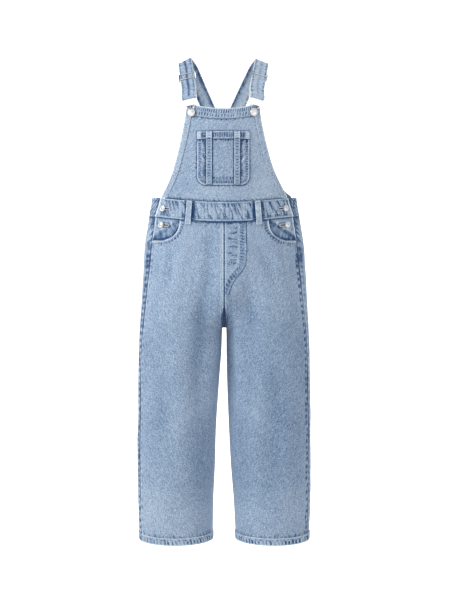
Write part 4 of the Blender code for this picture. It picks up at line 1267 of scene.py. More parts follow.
TOP_HALF = float(edge_at(BIB_EDGE, BIB_TOP, 1))


def bib_top(x):
    return BIB_TOP - BIB_SAG * (1 - (x / TOP_HALF) ** 2)


print(f"bib: {2 * TOP_HALF:.0f} mm wide at its top")

# %% Bib pocket sizes
POCKET_TOP = -173.5
POCKET_FOOT = -279
POCKET_HALF = 52
POCKET_CORNER = 17
POCKET_SHIFT = -2
POCKET_BAND = 14.5
POCKET_ROWS = (2.2, 9.0)      # two rows of stitches, this far from its rim
STRIP = 11
STRIP_STEP = 2.5
STRIP_PLACES = {"right": -30, "left": 25.5}
TRIM_ROW = 2.2
CORNER_START = POCKET_FOOT + POCKET_CORNER


def pocket_half(z):
    """Half the pocket's width, which rounds in at its bottom corners."""
    into = np.maximum(CORNER_START - z, 0.0)
    return POCKET_HALF - POCKET_CORNER + np.sqrt(np.maximum(POCKET_CORNER ** 2 - into ** 2, 0.0))


def pocket_heights(straight, corner):
    """Heights down the pocket, so many down its straight sides and so many round its corners."""
    down = np.linspace(POCKET_TOP, CORNER_START, straight)
    turn = np.linspace(0, pi / 2, corner)[1:]
    return np.concatenate([down, POCKET_FOOT + POCKET_CORNER * (1 - np.sin(turn))])


def pocket_rim():
    """The pocket's edge as a line of places, down one side, along the foot and up the other."""
    z = pocket_heights(60, 20)
    half = pocket_half(z)
    foot = np.linspace(-1, 1, 50)[1:-1] * half[-1]
    x = np.concatenate([-half, foot, half[::-1]]) + POCKET_SHIFT
    return bib_point(x, np.concatenate([z, np.full(len(foot), POCKET_FOOT), z[::-1]]))


def beside_strips(x, reach):
    """The shade on both sides of the pocket's two strips, from 0 to 1."""
    return np.minimum(sum(fading(np.abs(x - spot) - STRIP / 2 - 0.4, reach)
                          for spot in STRIP_PLACES.values()), 1)


print(f"bib pocket: {distances_along(pocket_rim())[-1]:.0f} mm round its rim")

# %% Bib panel
BIB_TONE = 0.085        # the bib is washed paler than the legs,
BIB_SWEEP = 0.001       # and ever paler toward the wearer's left, by this much a millimetre
SEAM_RUN = 300          # added to x, so that places along a level seam count from one end


def bib_panel():
    def place(u, v, out):
        side, share = halves(u)
        top = bib_top(share * TOP_HALF)
        foot = WAIST + waist_shift(share * BAND_END) + SEAM
        z = top + (foot - top) * v
        return bib_point(side * share * edge_at(BIB_EDGE, z, side), z, out)

    def relief(lay):
        x = lay.x
        z = lay.z
        # under the hems and the pocket the panel stays level
        across = np.abs(x - POCKET_SHIFT)
        pocket = smooth((POCKET_HALF + 4 - across) / 4) * beyond(z, POCKET_FOOT - 4, 4)
        hidden = np.maximum(near(lay.left, 12) + near(lay.right, 12), pocket)
        hidden = np.maximum(hidden, smooth((TOP_HEM + 4 - lay.top) / 4))
        lift = 0.6 * uneven_over(x, z, 26, 30, 101) + 0.25 * uneven_over(x, z, 11, 13, 102)
        # the shade round the pocket, along the waistband and beside the hems
        away, along = away_from(lay.base, pocket_rim(), 12)
        dye = BIB_TONE + BIB_SWEEP * x - 1.35 * near(away, 2.3) * (0.8 + 0.3 * uneven(along, 18, 103))
        over = (across < POCKET_HALF) & (z > POCKET_TOP)
        dye -= 0.8 * over * near(z - POCKET_TOP, 2.4)
        dye -= 0.9 * near(lay.foot, 2.6) * (0.7 + 0.3 * uneven(x, 40, 104))
        dye -= 0.15 * near(lay.sides - SIDE_HEM - 1, 1.6)
        # short puckers from the waistband and from the top hem, and painted shade just under the top hem
        below = lay.top - TOP_HEM
        low = puckers(x, lay.foot, 9, 105, 13, (0.4, 0.9), -0.5, 0.22, both=False)
        under = puckers(x, below, 10, 106, 9, (0.3, 0.8), 0.1, 0.24, both=False)
        dye -= 0.4 * low + (0.45 * near(below - 1, 1.6) + 0.5 * under) * (below > 0)
        return lift * (1 - np.minimum(hidden, 1)), dye

    def seams(lay):
        x = lay.x
        z = lay.z
        yield np.abs(lay.left - SIDE_HEM), lay.top
        yield np.abs(lay.right - SIDE_HEM), lay.top
        yield lay.foot, x + SEAM_RUN
        yield np.abs(lay.top - TOP_HEM), x + SEAM_RUN
        beside = np.maximum(np.abs(x - POCKET_SHIFT) - POCKET_HALF, 0)
        below = np.maximum(POCKET_FOOT - z, 0)
        above = np.maximum(z - POCKET_TOP, 0)
        yield np.hypot(beside, below + above * 3), x + z + 500

    make_sheet("bib_front", evenly(230, 1.5), evenly(180, 1.5), place, DENIM,
               relief, seams)


bib_panel()

# %% Back panel
BACK_SIDE_ROW = 12
BACK_TOP_ROW = 13


def back_panel():
    def place(u, v, out):
        side, share = halves(u)
        z = BACK_TOP + (WAIST + SEAM - BACK_TOP) * v
        angle = pi - angle_at(z, edge_at(BACK_EDGE, z, side) * share)
        return raised(trunk(side, z, angle, out), waist_shift(angle) * v)

    def relief(lay):
        lift = uneven_over(lay.left, lay.top, 30, 34, 111) * 0.8
        sides = lay.sides
        border = near(sides - BACK_SIDE_ROW, 1.3) + near(lay.top - BACK_TOP_ROW, 1.3)
        bands = np.maximum(puckers(lay.top, sides, 12, 112, 7, slant=0.4, thick=0.25),
                           puckers(lay.left, lay.top, 13, 113, 6, slant=0.1, thick=0.25))
        # painted shade along the waistband at its foot
        dye = -0.9 * border - 0.6 * bands - 0.8 * near(lay.foot, 2.4)
        return lift * smooth(lay.top / 60) - (0.4 * border + 0.3 * bands), dye

    def seams(lay):
        yield np.abs(lay.left - 10), lay.top
        yield np.abs(lay.right - 10), lay.top
        yield lay.foot, lay.left
        yield np.abs(lay.top - 8), lay.left

    make_sheet("back_bib", evenly(250, 2.2), evenly(175, 2.2), place, DENIM,
               relief, seams)


back_panel()

# %% Bib top hem
TOP_ROW = 10.2
FOOT_ROW = 1.8


def bib_top_hem():
    def place(u, v, out):
        side, share = halves(u)
        z = bib_top(share * TOP_HALF) - TOP_HEM * v
        return bib_point(side * share * edge_at(BIB_EDGE, z, side), z, ON_PANEL + out)

    def relief(lay):
        fine = beat(lay.left, 4.6, 121) * within(lay.top, 2.4, 9.2)
        swaying = lay.left + 1.3 * uneven(lay.left, 5, 124)
        rough = beat(swaying, 6.0, 123) * within(lay.top, 11.4, 17.6)
        rough = rough * (0.7 + 0.5 * uneven_over(lay.left, lay.top, 9, 3, 125))
        sewn = near(lay.top - TOP_ROW, 0.9) + near(lay.foot - FOOT_ROW, 0.8)
        ends = near(lay.sides - 11, 3) * beyond(lay.top, 12, 3)
        dye = 0.24 - 1.4 * fine - 2.0 * rough + 0.45 * near(lay.top, 1.5) - 0.35 * near(lay.foot, 1.0)
        return -(0.35 * fine + 0.7 * rough + 0.3 * sewn), dye - 0.3 * sewn - 0.8 * ends

    make_sheet("bib_top_hem", evenly(149.6, 0.8), evenly(TOP_HEM, 1.0), place, DENIM_WORN,
               relief, grain="across")


bib_top_hem()

# %% Bib side hems
SIDE_ROW = 2


def bib_side_hem(word, side):
    def place(u, v, out):
        inward = SIDE_HEM * (1 - u)
        top = bib_top(TOP_HALF - inward) - TOP_HEM - SEAM
        foot = WAIST + waist_shift(BAND_END) - 0.5
        z = top + (foot - top) * v
        return bib_point(side * (read(BIB_EDGE, word, z) - inward), z, ON_PANEL + out)

    def relief(lay):
        body = smooth(lay.left / 1.5) * smooth(lay.right / 1.5)
        marks = body * puckers(lay.top, lay.left, SIDE_HEM, 131 + side, 6.8, (0.4, 0.9), -0.5 * side, 0.2)
        sewn = near(lay.left - SIDE_ROW, 1.0) + 0.5 * near(lay.right - 2.5, 1.0)
        # the inner rim is paler: partly wear, partly painted light lifting the shade on its wall
        dye = 0.1 - 0.3 * marks + 0.1 * near(lay.left - 0.6, 1.2) + 0.6 * near(lay.right, 2.0)
        return -(0.3 * marks + 0.25 * sewn), dye

    make_sheet(f"bib_side_hem_{word}", evenly(SIDE_HEM, 1.0), evenly(165, 1.4), place,
               DENIM_WORN, relief)


for word, side in SIDES.items():
    bib_side_hem(word, side)


# %% Bib pocket
def pocket_panel():
    heights = pocket_heights(70, 14)

    def place(u, v, out):
        z = heights[v.astype(int)]
        return bib_point(POCKET_SHIFT + (2 * u - 1) * pocket_half(z), z, ON_PANEL + out)

    def relief(lay):
        x = lay.x
        z = lay.z
        inset, along = away_from(lay.base, pocket_rim(), 60)
        # the rows round its rim, with a third row's dimples where it is sewn again at the foot
        sewn = near(inset - POCKET_ROWS[0], 0.9) + near(inset - POCKET_ROWS[1], 0.8)
        low = smooth((POCKET_FOOT + 22 - z) / 6)
        rows = beat(along, 5.0, 142) * within(inset, 3.6, 7.6)
        rows += beat(along + 2, 5.3, 146) * within(inset, 11, 15.5) * low
        # tugs under the band with painted shade just below it, and drags and pulls outside the strips
        under = POCKET_TOP - POCKET_BAND - z
        tugs = puckers(x, under, 7, 143, 4.8, (0.5, 1.1), 0.1, 0.3, both=False) * (under > -2)
        outside = (x < STRIP_PLACES["right"]) | (x > STRIP_PLACES["left"])
        start = (np.where(x < 0, 10.5, 12.5) + 1.8 * uneven(z, 15, 144))
        drags = outside * beyond(inset, start, 4) * (0.8 + 0.3 * uneven(z, 13, 145)) * (1 - 0.4 * low)
        pulls = outside * within(inset, 7, 19) * np.maximum(ripples(z, inset, 147, 19, 1.5), 0) ** 2
        lift = 0.5 * uneven_over(lay.left, z, 20, 24, 141) * beyond(inset, 8, 8)
        lift -= 0.3 * sewn + 0.45 * rows + 0.5 * tugs + 0.3 * drags - 0.4 * pulls
        dye = 1.3 * fading(inset - 0.8, 1.4) - 0.35 * sewn - 1.4 * rows - 1.2 * tugs
        dye += 0.6 * pulls - 0.8 * drags - 1.15 * beside_strips(x, 1.7) - 0.9 * near(under, 2.0)
        return lift, dye

    make_sheet("bib_pocket", evenly(2 * POCKET_HALF, 1.2), np.arange(len(heights)), place, DENIM,
               relief)


pocket_panel()


# %% Bib pocket's band and strips
def trim_marks(run, first, second, spacing, reach, seed):
    """The dimples, rows of stitches and edges of a narrow piece sewn down along both its long sides."""
    marks = beat(run, spacing, seed) * within(first, 3.2, reach)
    marks = marks * (0.8 + 0.3 * uneven_over(run, first, 9, 4, seed + 3))
    sewn = near(first - TRIM_ROW, 0.8) + near(second - TRIM_ROW, 0.8)
    return marks, sewn, near(first, 1.2) + near(second, 1.2)


def pocket_band():
    def place(u, v, out):
        return bib_point(POCKET_SHIFT + (2 * u - 1) * POCKET_HALF, POCKET_TOP - POCKET_BAND * v,
                         2 * ON_PANEL + out)

    def relief(lay):
        marks, sewn, edges = trim_marks(lay.left, lay.top, lay.foot, 4.8, 11.2, 151)
        ends = lay.sides
        body = beyond(ends, 7, 2)
        marks = marks * body
        dye = 0.4 * (1 - body) - 0.35 * near(ends - 12.5, 3)
        dye -= 1.5 * marks + 0.3 * sewn - 0.35 * edges + 1.2 * beside_strips(lay.x, 1.6)
        return -(0.35 * marks + 0.3 * sewn), dye

    make_sheet("bib_pocket_band", evenly(2 * POCKET_HALF, 1.1), evenly(POCKET_BAND, 1.1), place,
               DENIM_WORN, relief, grain="across")


def pocket_strip(word, middle):
    foot = POCKET_FOOT + SEAM
    below = POCKET_TOP - POCKET_BAND - SEAM

    def place(u, v, out):
        z = POCKET_TOP + (foot - POCKET_TOP) * v
        layers = 2 + beyond(z, below - STRIP_STEP, STRIP_STEP)      # it steps up onto the band
        return bib_point(middle + (u - 0.5) * STRIP, z, layers * ON_PANEL + out)

    def relief(lay):
        marks, sewn, edges = trim_marks(lay.top, lay.left, lay.right, 5.6, 7.8, 153 + len(word))
        # painted shade where it steps down off the band's edge, and paler where it lies on the band
        dye = 0.45 * smooth((POCKET_BAND - lay.top) / 1.5) - 0.9 * near(lay.top - POCKET_BAND, 1.3)
        return -(0.35 * marks + 0.3 * sewn), dye - 1.1 * marks - 0.3 * sewn + 0.35 * edges

    make_sheet(f"bib_pocket_strip_{word}", evenly(STRIP, 1.1), evenly(POCKET_TOP - foot, 1.1), place,
               DENIM_WORN, relief)


pocket_band()
for word, middle in STRIP_PLACES.items():
    pocket_strip(word, middle)

# %% [markdown]
# ## Behind the centre seams
# A trouser seam has an allowance: the cloth past the stitches, folded to one side behind them. It is what
# shows where the legs part at the crotch. One narrow strip behind the front's centre seam and one behind the
# back's stand for it. They follow the panels' own curve, one cloth further in. They are coloured far darker
# than the denim, and darker still down their middle: painted shade, for the dark line of the crotch's gap.

# %% Seam allowances
ALLOWANCE_SHARE = 0.062     # of a panel's width, on each side of the middle
ALLOWANCE_ENDS = (PANEL_TOP - 1, CROTCH - 1)


def allowance(face):
    top, foot = ALLOWANCE_ENDS

    def place(u, v, out):
        side, share = halves(u)
        z = top + (foot - top) * v
        right, left = (leg_panel(sign, face, z, share * ALLOWANCE_SHARE, out - LAP) for sign in (-1, 1))
        points = np.where((side > 0)[..., None], left, right)
        points[..., 0] *= smooth(share / 0.25)
        return points

    def relief(lay):
        # painted shade, darker still down the middle
        return np.zeros_like(lay.left), -0.3 * near(lay.left - lay.left.max() / 2, 5)

    make_sheet(f"seam_allowance_{face}", np.linspace(0, 1, 19), evenly(330, 2.5), place, DENIM_SEAM_SHADED,
               relief, replaced=False)


for face in ("front", "back"):
    allowance(face)

# %% [markdown]
# ## Straps
# Each strap is a folded web of denim. It comes up from the clip, over the shoulder and down onto the
# back. Its front end goes round the clip's bar and is turned back behind itself, up to the adjuster.

# %% The straps' ways
STRAP_WIDTH = 30
CLIP_REACH = 31.3      # from a bib button up to the bar that the strap goes round
ClipPlace = namedtuple("ClipPlace", "button_x button_z lean")
CLIPS = {
    "right": ClipPlace(button_x=64.5, button_z=-135, lean=8.5),
    "left": ClipPlace(button_x=58, button_z=-134.5, lean=12.0),
}
CLIP_OUT = 5.2         # how far the bar stands out from the bib
FOLD_RADIUS = 3.2
FOLD_TURN = radians(30)
TURNED_BACK_TOP = -46
STRAP_LANDING = 3      # how far below the back's top edge the strap starts to lie on it
STRAP_ROW = 3
Way = namedtuple("Way", "x y z tilt turn")
STRAP_WAYS = {
    "right": (
        Way(x=71.5, y=-74.5, z=-85.5, tilt=9, turn=14),
        Way(x=75, y=-57.5, z=-60.5, tilt=9, turn=12),
        Way(x=78.7, y=-38, z=-35, tilt=13, turn=8),
        Way(x=81.5, y=-19, z=-15.8, tilt=23, turn=3),
        Way(x=82.5, y=2, z=-8.5, tilt=30, turn=0),
        Way(x=77.5, y=22, z=-10.2, tilt=29, turn=0),
        Way(x=70.7, y=40, z=-16.5, tilt=27, turn=0),
        Way(x=61.9, y=62, z=-32.2, tilt=24, turn=0),
        Way(x=53.1, y=78, z=-49.5, tilt=23, turn=2),
        Way(x=43.7, y=88, z=-69, tilt=23, turn=3),
        Way(x=36.5, y=92.5, z=-84, tilt=22, turn=4),
        Way(x=28, y=94.5, z=-103, tilt=17, turn=4),
        Way(x=22.6, y=94.5, z=-118, tilt=7, turn=4),
        Way(x=21.7, y=94, z=-133, tilt=0, turn=4),
        Way(x=21.5, y=94, z=-158, tilt=0, turn=4),
    ),
    "left": (
        Way(x=66, y=-74.5, z=-85.5, tilt=13, turn=4),
        Way(x=70.2, y=-57.5, z=-60.5, tilt=15, turn=3),
        Way(x=74.4, y=-38, z=-35, tilt=17, turn=2),
        Way(x=77.5, y=-19, z=-16.5, tilt=20, turn=0),
        Way(x=78.5, y=2, z=-9.5, tilt=23, turn=0),
        Way(x=73.8, y=22, z=-10.8, tilt=24, turn=0),
        Way(x=66.7, y=40, z=-17, tilt=24, turn=0),
        Way(x=56.9, y=62, z=-32.5, tilt=23, turn=0),
        Way(x=47.1, y=78, z=-49.5, tilt=23, turn=2),
        Way(x=37, y=88, z=-69, tilt=23, turn=3),
        Way(x=29.5, y=92.5, z=-84, tilt=22, turn=4),
        Way(x=20.4, y=94.5, z=-103, tilt=16, turn=4),
        Way(x=14.3, y=94.5, z=-118, tilt=7, turn=4),
        Way(x=12.7, y=94, z=-133, tilt=0, turn=4),
        Way(x=12.5, y=94, z=-158, tilt=0, turn=4),
    ),
}


def clip_frame(side):
    """Axes at a bib button: across the clip toward the wearer's side, up it and out of it, and the
    button's place on the bib."""
    place = CLIPS[WORD_FOR[side]]
    lean = radians(place.lean)
    angle = angle_at(place.button_z, place.button_x)
    seat = Vector(trunk(side, place.button_z, angle))
    out = Vector(trunk(side, place.button_z, angle, 1.0)) - seat
    outside = Vector((0, 0, 1)).cross(out) * side
    up = Vector((0, 0, 1)) * cos(lean) + outside * sin(lean)
    across = outside * cos(lean) - Vector((0, 0, 1)) * sin(lean)
    return across, up, out, seat


def strap_layers(side):
    """A strap's middle line as (place, width direction) pairs: the layer turned back behind, up to
    the fold, the fold round the clip's bar, and the layer from there over the shoulder."""
    across, up, out, seat = clip_frame(side)
    bar = seat + up * CLIP_REACH + out * CLIP_OUT
    fold = []
    for k in range(7):
        angle = FOLD_TURN - pi + pi * k / 6
        fold.append((bar + FOLD_RADIUS * (out * cos(angle) + up * sin(angle)), across))
    chain = [fold.pop()]
    for way in STRAP_WAYS[WORD_FOR[side]]:
        tilt = radians(way.tilt)
        turn = radians(way.turn)
        width = Vector((side * cos(tilt) * cos(turn), sin(turn), -sin(tilt)))
        chain.append((Vector((side * way.x, way.y, way.z)), width.normalized()))
    line = []
    for k in range(len(chain) - 1):
        before, start, end, after = (chain[min(max(i, 0), len(chain) - 1)] for i in range(k - 1, k + 3))
        for share in (0.0, 0.5):
            place, width = (bend(start[i], end[i], (end[i] - before[i]) / 2, (after[i] - start[i]) / 2, share)
                            for i in (0, 1))
            line.append((place, width.normalized()))
    line.append(chain[-1])
    turned_back = []
    for k in range(1, len(line) - 1):
        place, width = line[k]
        if place.z > TURNED_BACK_TOP:
            break
        turned_back.insert(0, (place + strap_normal(line, k) * -2 * FOLD_RADIUS, width))
    return turned_back, fold, line


def strap_normal(line, k):
    """The direction out of a strap's outer face at a place on its line."""
    along = line[k + 1][0] - line[k - 1][0]
    normal = line[k][1].cross(along).normalized()
    return normal if normal.y < 0 else -normal


for word, side in SIDES.items():
    over = distances_along([place for place, _ in strap_layers(side)[2]])[-1]
    print(f"strap {word}: {over:.0f} mm from the clip to its end")


# %% Strap cloth
def strap(word, side):
    turned_back, fold, line = strap_layers(side)
    chain = turned_back + fold + line
    middles = fine_line([place for place, _ in chain], 6 * len(chain))
    widths = fine_line([width for _, width in chain], 6 * len(chain))
    widths /= np.linalg.norm(widths, axis=1)[:, None]
    normals = np.cross(np.gradient(middles, axis=0), widths) * side
    normals /= np.linalg.norm(normals, axis=1)[:, None]
    fold_z = min(place.z for place, _ in fold)

    def place(u, v, out):
        row = v.astype(int)
        points = middles[row] + widths[row] * ((2 * u - 1) * STRAP_WIDTH / 2)[..., None]
        z = points[..., 2]
        landed = (points[..., 1] > 0) & (middles[row][..., 2] < BACK_TOP + STRAP_LANDING)
        flat = trunk(side, z, pi - angle_at(z, points[..., 0]), SEAM + STRAP_CLOTH / 2)[..., 1]
        points[..., 1] = np.where(landed, flat, points[..., 1])
        return points + normals[row] * out[..., None]

    def relief(lay):
        inset = lay.sides
        z = lay.z
        behind = smooth(lay.base[..., 1] / 30)
        sewn = near(inset - STRAP_ROW, 0.9)
        # a wandering crease down the middle, from ironing and wear
        wander = 1.5 * uneven(lay.top, 34, 162 + side)
        crease = near(lay.left - STRAP_WIDTH / 2 - wander, 2.3)
        crease = crease * np.maximum(0.85 + 0.35 * uneven(lay.top, 14, 161 + side), 0.4)
        crease = crease * beyond(z, fold_z + 2, 4) * (1 - 0.8 * behind)
        # puckers beside the rows, but not where the strap is bent hard round the bar
        flat_part = np.maximum(beyond(z, fold_z + 9, 5), lay.base[..., 1] > 0)
        marks = puckers(lay.top, inset, 10, 163 + side, 7.5, (0.4, 1.1), 0.3, 0.24, both=False)
        marks = marks * beyond(inset, 1, 1.5) * flat_part
        # the back's straps are pale and shaded toward their edges
        shaded = near(lay.left - 4.5, 5.5)
        if side < 0:
            shaded = shaded + 1.3 * near(lay.right - 4, 5.5)
        shaded = shaded * behind * (0.85 + 0.3 * uneven(lay.top, 6, 165 + side))
        dye = (0.04 if side < 0 else 0.25) * (1 - behind) + 0.5 * behind + 0.5 * near(inset, 1.4)
        dye -= 0.5 * sewn + 0.9 * marks + (1.35 if side < 0 else 0.405) * crease + 0.95 * shaded
        return -(0.3 * sewn + 0.5 * crease + 0.45 * marks), dye

    make_sheet(f"strap_{word}", evenly(STRAP_WIDTH, 1.2), np.arange(len(middles)), place, DENIM_WORN,
               relief, grain="along", thickness=STRAP_CLOTH, offset=0.0, lining=DENIM_WORN)


for word, side in SIDES.items():
    strap(word, side)

# %% [markdown]
# ## Stitches
# Every seam on denim is sewn with thick thread, about eight stitches to the inch. From a step away a row
# reads as a pale dotted line, sunk a little into the cloth. Each stitch here is a small sphere of a few
# dozen faces, drawn out to a grain of rice, so hundreds of them stay light. Most rows run beside an edge
# of a piece, where the stored lengths place them. Rows along a curve are put beside it and dropped onto
# the nearest cloth.

# %% Thread
STITCH = 2.5
PITCH = 3.4
THREAD_HALF = 0.38
TWIST = 0.7 * MM
UNEVEN_DYE = 9 * MM
UNEVEN_STOPS = (0.35, 0.65)     # noise stays mostly between these, so a ramp's tones lie there


def spun_thread(name, dark, light):
    """Two twisted plies, with the dye that washed out of the denim held unevenly."""
    made, tree, shader = new_material(name, Roughness=0.62, Specular_IOR_Level=0.35)
    spot = add_node(tree, "TexCoord").outputs["Object"]
    wear = add_node(tree, "TexNoise", {"Vector": spot, "Scale": 1 / UNEVEN_DYE, "Detail": 2.0})
    shade = add_node(tree, "ValToRGB", (wear,))
    set_stops(shade, zip(UNEVEN_STOPS, (dark, light)))
    tree.links.new(shade.outputs["Color"], shader.inputs["Base Color"])
    ply = add_node(tree, "TexNoise", {"Vector": spot, "Scale": 1 / TWIST, "Detail": 1.0})
    bump = add_node(tree, "Bump", {"Strength": 0.6, "Distance": 0.15 * MM, "Height": ply})
    tree.links.new(bump.outputs["Normal"], shader.inputs["Normal"])
    return made


THREAD = spun_thread("thread_spun_polyester", "#9DB2CD", "#C9D5E2")
THREAD_PALE = spun_thread("thread_buttonhole_gimp", "#C6C4C4", "#EAE6E0")
print("threads:", THREAD.name, "and", THREAD_PALE.name)


# %% Where rows run
def row_beside(name, edge, inset):
    """A line on a sheet at an even distance from one of its edges, and the way out of the cloth there."""
    cloth = SHEETS[name]
    gaps = getattr(cloth.lay, edge)
    points, outs = cloth.points, cloth.out
    if edge in ("top", "foot"):
        gaps, points, outs = gaps.T, points.transpose(1, 0, 2), outs.transpose(1, 0, 2)
    places = []
    for k in range(len(gaps)):
        order = np.argsort(gaps[k])
        if gaps[k][order[-1]] > inset:
            both = np.concatenate([points[k], outs[k]], axis=1)[order]
            places.append([np.interp(inset, gaps[k][order], both[:, i]) for i in range(6)])
    places = np.array(places)
    return places[:, :3], places[:, 3:]


def dropped(name, line, inset=0.0):
    """A line moved sideways by inset, then onto the nearest cloth of a sheet."""
    mesh = SHEETS[name].made.data
    tree = BVHTree.FromPolygons([vert.co for vert in mesh.vertices], [face.vertices for face in mesh.polygons])
    line = np.array(line) * MM
    places = []
    outs = []
    for point, step in zip(line, np.gradient(line, axis=0)):
        normal = tree.find_nearest(Vector(point))[1]
        beside = Vector(step).cross(normal).normalized()
        spot, normal, _, _ = tree.find_nearest(Vector(point) + beside * (inset * MM))
        places.append(spot)
        outs.append(normal)
    return np.array(places) / MM, np.array(outs)


def stitch_places(row, pitch=PITCH, margin=2):
    """Evenly spaced (place, direction, outward) along a row."""
    places, outs = row
    run = distances_along(places)
    count = max(int((run[-1] - 2 * margin) / pitch), 1)
    for middle in margin + (np.arange(count) + 0.5) * (run[-1] - 2 * margin) / count:
        start, end = (Vector([np.interp(middle + step, run, places[:, i]) for i in range(3)])
                      for step in (-0.8, 0.8))
        out = Vector([np.interp(middle, run, outs[:, i]) for i in range(3)]).normalized()
        yield (start + end) / 2, (end - start).normalized(), out


def bars_across(row, pitch, margin):
    """Stitches turned across their row, close together, as a bartack or a buttonhole's edge has."""
    for place, along, out in stitch_places(row, pitch, margin):
        yield place, out.cross(along).normalized(), out


# %% Pieces of thread
BATCH = 200     # stitches made at once, so that each operator stays quick
ON_SIDE = Matrix.Rotation(pi / 2, 4, "Y")
TO_METRES = Matrix.Scale(MM, 4)
THREADS = {}


def thread_piece(name, stitches, carrier, length=STITCH, half=THREAD_HALF, lift=0.12, finish=THREAD):
    """One piece of thread made of its many stitches."""
    stitches = list(stitches)
    whole = bmesh.new()
    part = bpy.data.meshes.new("part")
    for start in range(0, len(stitches), BATCH):
        bm = bmesh.new()
        for place, along, out in stitches[start:start + BATCH]:
            across = out.cross(along).normalized()
            drawn = Matrix((along * length / 2, across * half, across.cross(along) * -half)).transposed()
            bmesh.ops.create_uvsphere(bm, u_segments=6, v_segments=4, radius=1.0,
                                      matrix=TO_METRES @ Matrix.Translation(place + out * lift)
                                      @ drawn.to_4x4() @ ON_SIDE)
        bmesh.ops.recalc_face_normals(bm, faces=bm.faces)
        bm.to_mesh(part)
        bm.free()
        whole.from_mesh(part)
    bpy.data.meshes.remove(part)
    made = add_object(name, finished_mesh(name, whole, finish))
    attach(made, "root")
    THREADS.setdefault(carrier, []).append(made)
    print(f"{name}: {len(stitches)} stitches, {len(made.data.polygons)} faces")


# %% Straight rows
CENTRE_ROWS = {"right": 6.2, "left": 2.3}     # on each leg, beside the centre seam
Row = namedtuple("Row", "edge inset")
ROWS = {
    "bib_top_hem": (Row("top", TOP_ROW), Row("foot", FOOT_ROW)),
    "bib_side_hem_": (Row("left", SIDE_ROW),),
    "bib_pocket_band": (Row("top", TRIM_ROW), Row("foot", TRIM_ROW)),
    "bib_pocket_strip_": (Row("left", TRIM_ROW), Row("right", TRIM_ROW)),
    "waistband_front": (Row("top", BAND_ROW), Row("foot", BAND_ROW)),
    "waistband_back": (Row("top", BAND_ROW), Row("foot", BAND_ROW)),
    "belt_loop_": (Row("left", LOOP_ROW), Row("right", LOOP_ROW)),
    "back_bib": (Row("left", BACK_SIDE_ROW), Row("right", BACK_SIDE_ROW), Row("top", BACK_TOP_ROW)),
    "strap_": (Row("left", STRAP_ROW), Row("right", STRAP_ROW)),
    "hem_front_": (Row("top", HEM_ROW),),
    "hem_back_": (Row("top", HEM_ROW),),
}
for stem, rows in ROWS.items():
    for name in ([stem + word for word in SIDES] if stem.endswith("_") else [stem]):
        thread_piece(f"stitches_{name}", [stitch for row in rows
                                          for stitch in stitch_places(row_beside(name, *row))], name)

# %% Rows along curves
rim = pocket_rim()
thread_piece("stitches_bib_pocket", [stitch for inset in POCKET_ROWS
                                     for stitch in stitch_places(dropped("bib_pocket", rim, -inset))],
             "bib_pocket")
for word, side in SIDES.items():
    for face in ("front", "back"):
        name = f"{face}_leg_{word}"
        rows = [row_beside(name, "left", CENTRE_ROWS[word])]
        if face == "front":
            mouth = leg_panel(side, "front", scoop_heights, scoop_ends)
            rows += [dropped(name, mouth, side * inset) for inset in MOUTH_ROW_INSETS]
            if side > 0:
                rows += [dropped(name, fly_curve(120, inward)) for inward in (0.0, -FLY_WIDTH, -16.5)]
        stitches = [stitch for row in rows for stitch in stitch_places(row) if stitch[0].z > CROTCH + 20]
        thread_piece(f"stitches_{name}", stitches, name)

# %% Bartacks
for word in SIDES:
    name = f"belt_loop_{word}"
    tacks = [stitch for edge in ("top", "foot")
             for stitch in bars_across(row_beside(name, edge, LOOP_TACK), 0.9, 1.6)]
    thread_piece(f"bartacks_{name}", tacks, name, length=2.2, half=0.36, lift=0.2)

# %% Buttonholes
EYE_RAYS = 9                # bars that fan out round the button's end of the hole
HOLE_EDGE = 2.2
for word, side in SIDES.items():
    for place, name in (("upper", "waistband_front"), ("lower", f"pocket_facing_{word}")):
        hole = buttonhole(side, place, 30)
        bars = [stitch for inset in (-HOLE_EDGE, HOLE_EDGE)
                for stitch in bars_across(dropped(name, hole, inset), 0.85, 0.5)]
        end, ahead, out = list(stitch_places(dropped(name, hole), 1, 0.0))[-1]
        aside = out.cross(ahead).normalized()
        for k in range(EYE_RAYS):
            turn = (k - EYE_RAYS // 2) * pi / 10
            ray = ahead * cos(turn) + aside * sin(turn)
            bars.append((end + ray * HOLE_EDGE, ray, out))
        thread_piece(f"buttonhole_{place}_{word}", bars, name, length=2.4, half=0.42, lift=0.35,
                     finish=THREAD_PALE)

# %% [markdown]
# ## Metal trim
# The buttons, clips and adjusters are steel, pressed or bent, then nickel plated and polished. Plated
# nickel is a touch warmer and darker than chrome, and tumbling leaves fine scuffs that blur what it
# mirrors. A button is turned from its half profile with a full spin, a clip plate is filled from its
# outline and pulled to its thickness, and the loops are wire bent from a circle swept along a line.

# %% Plated steel
SCUFF = 1.6 * MM


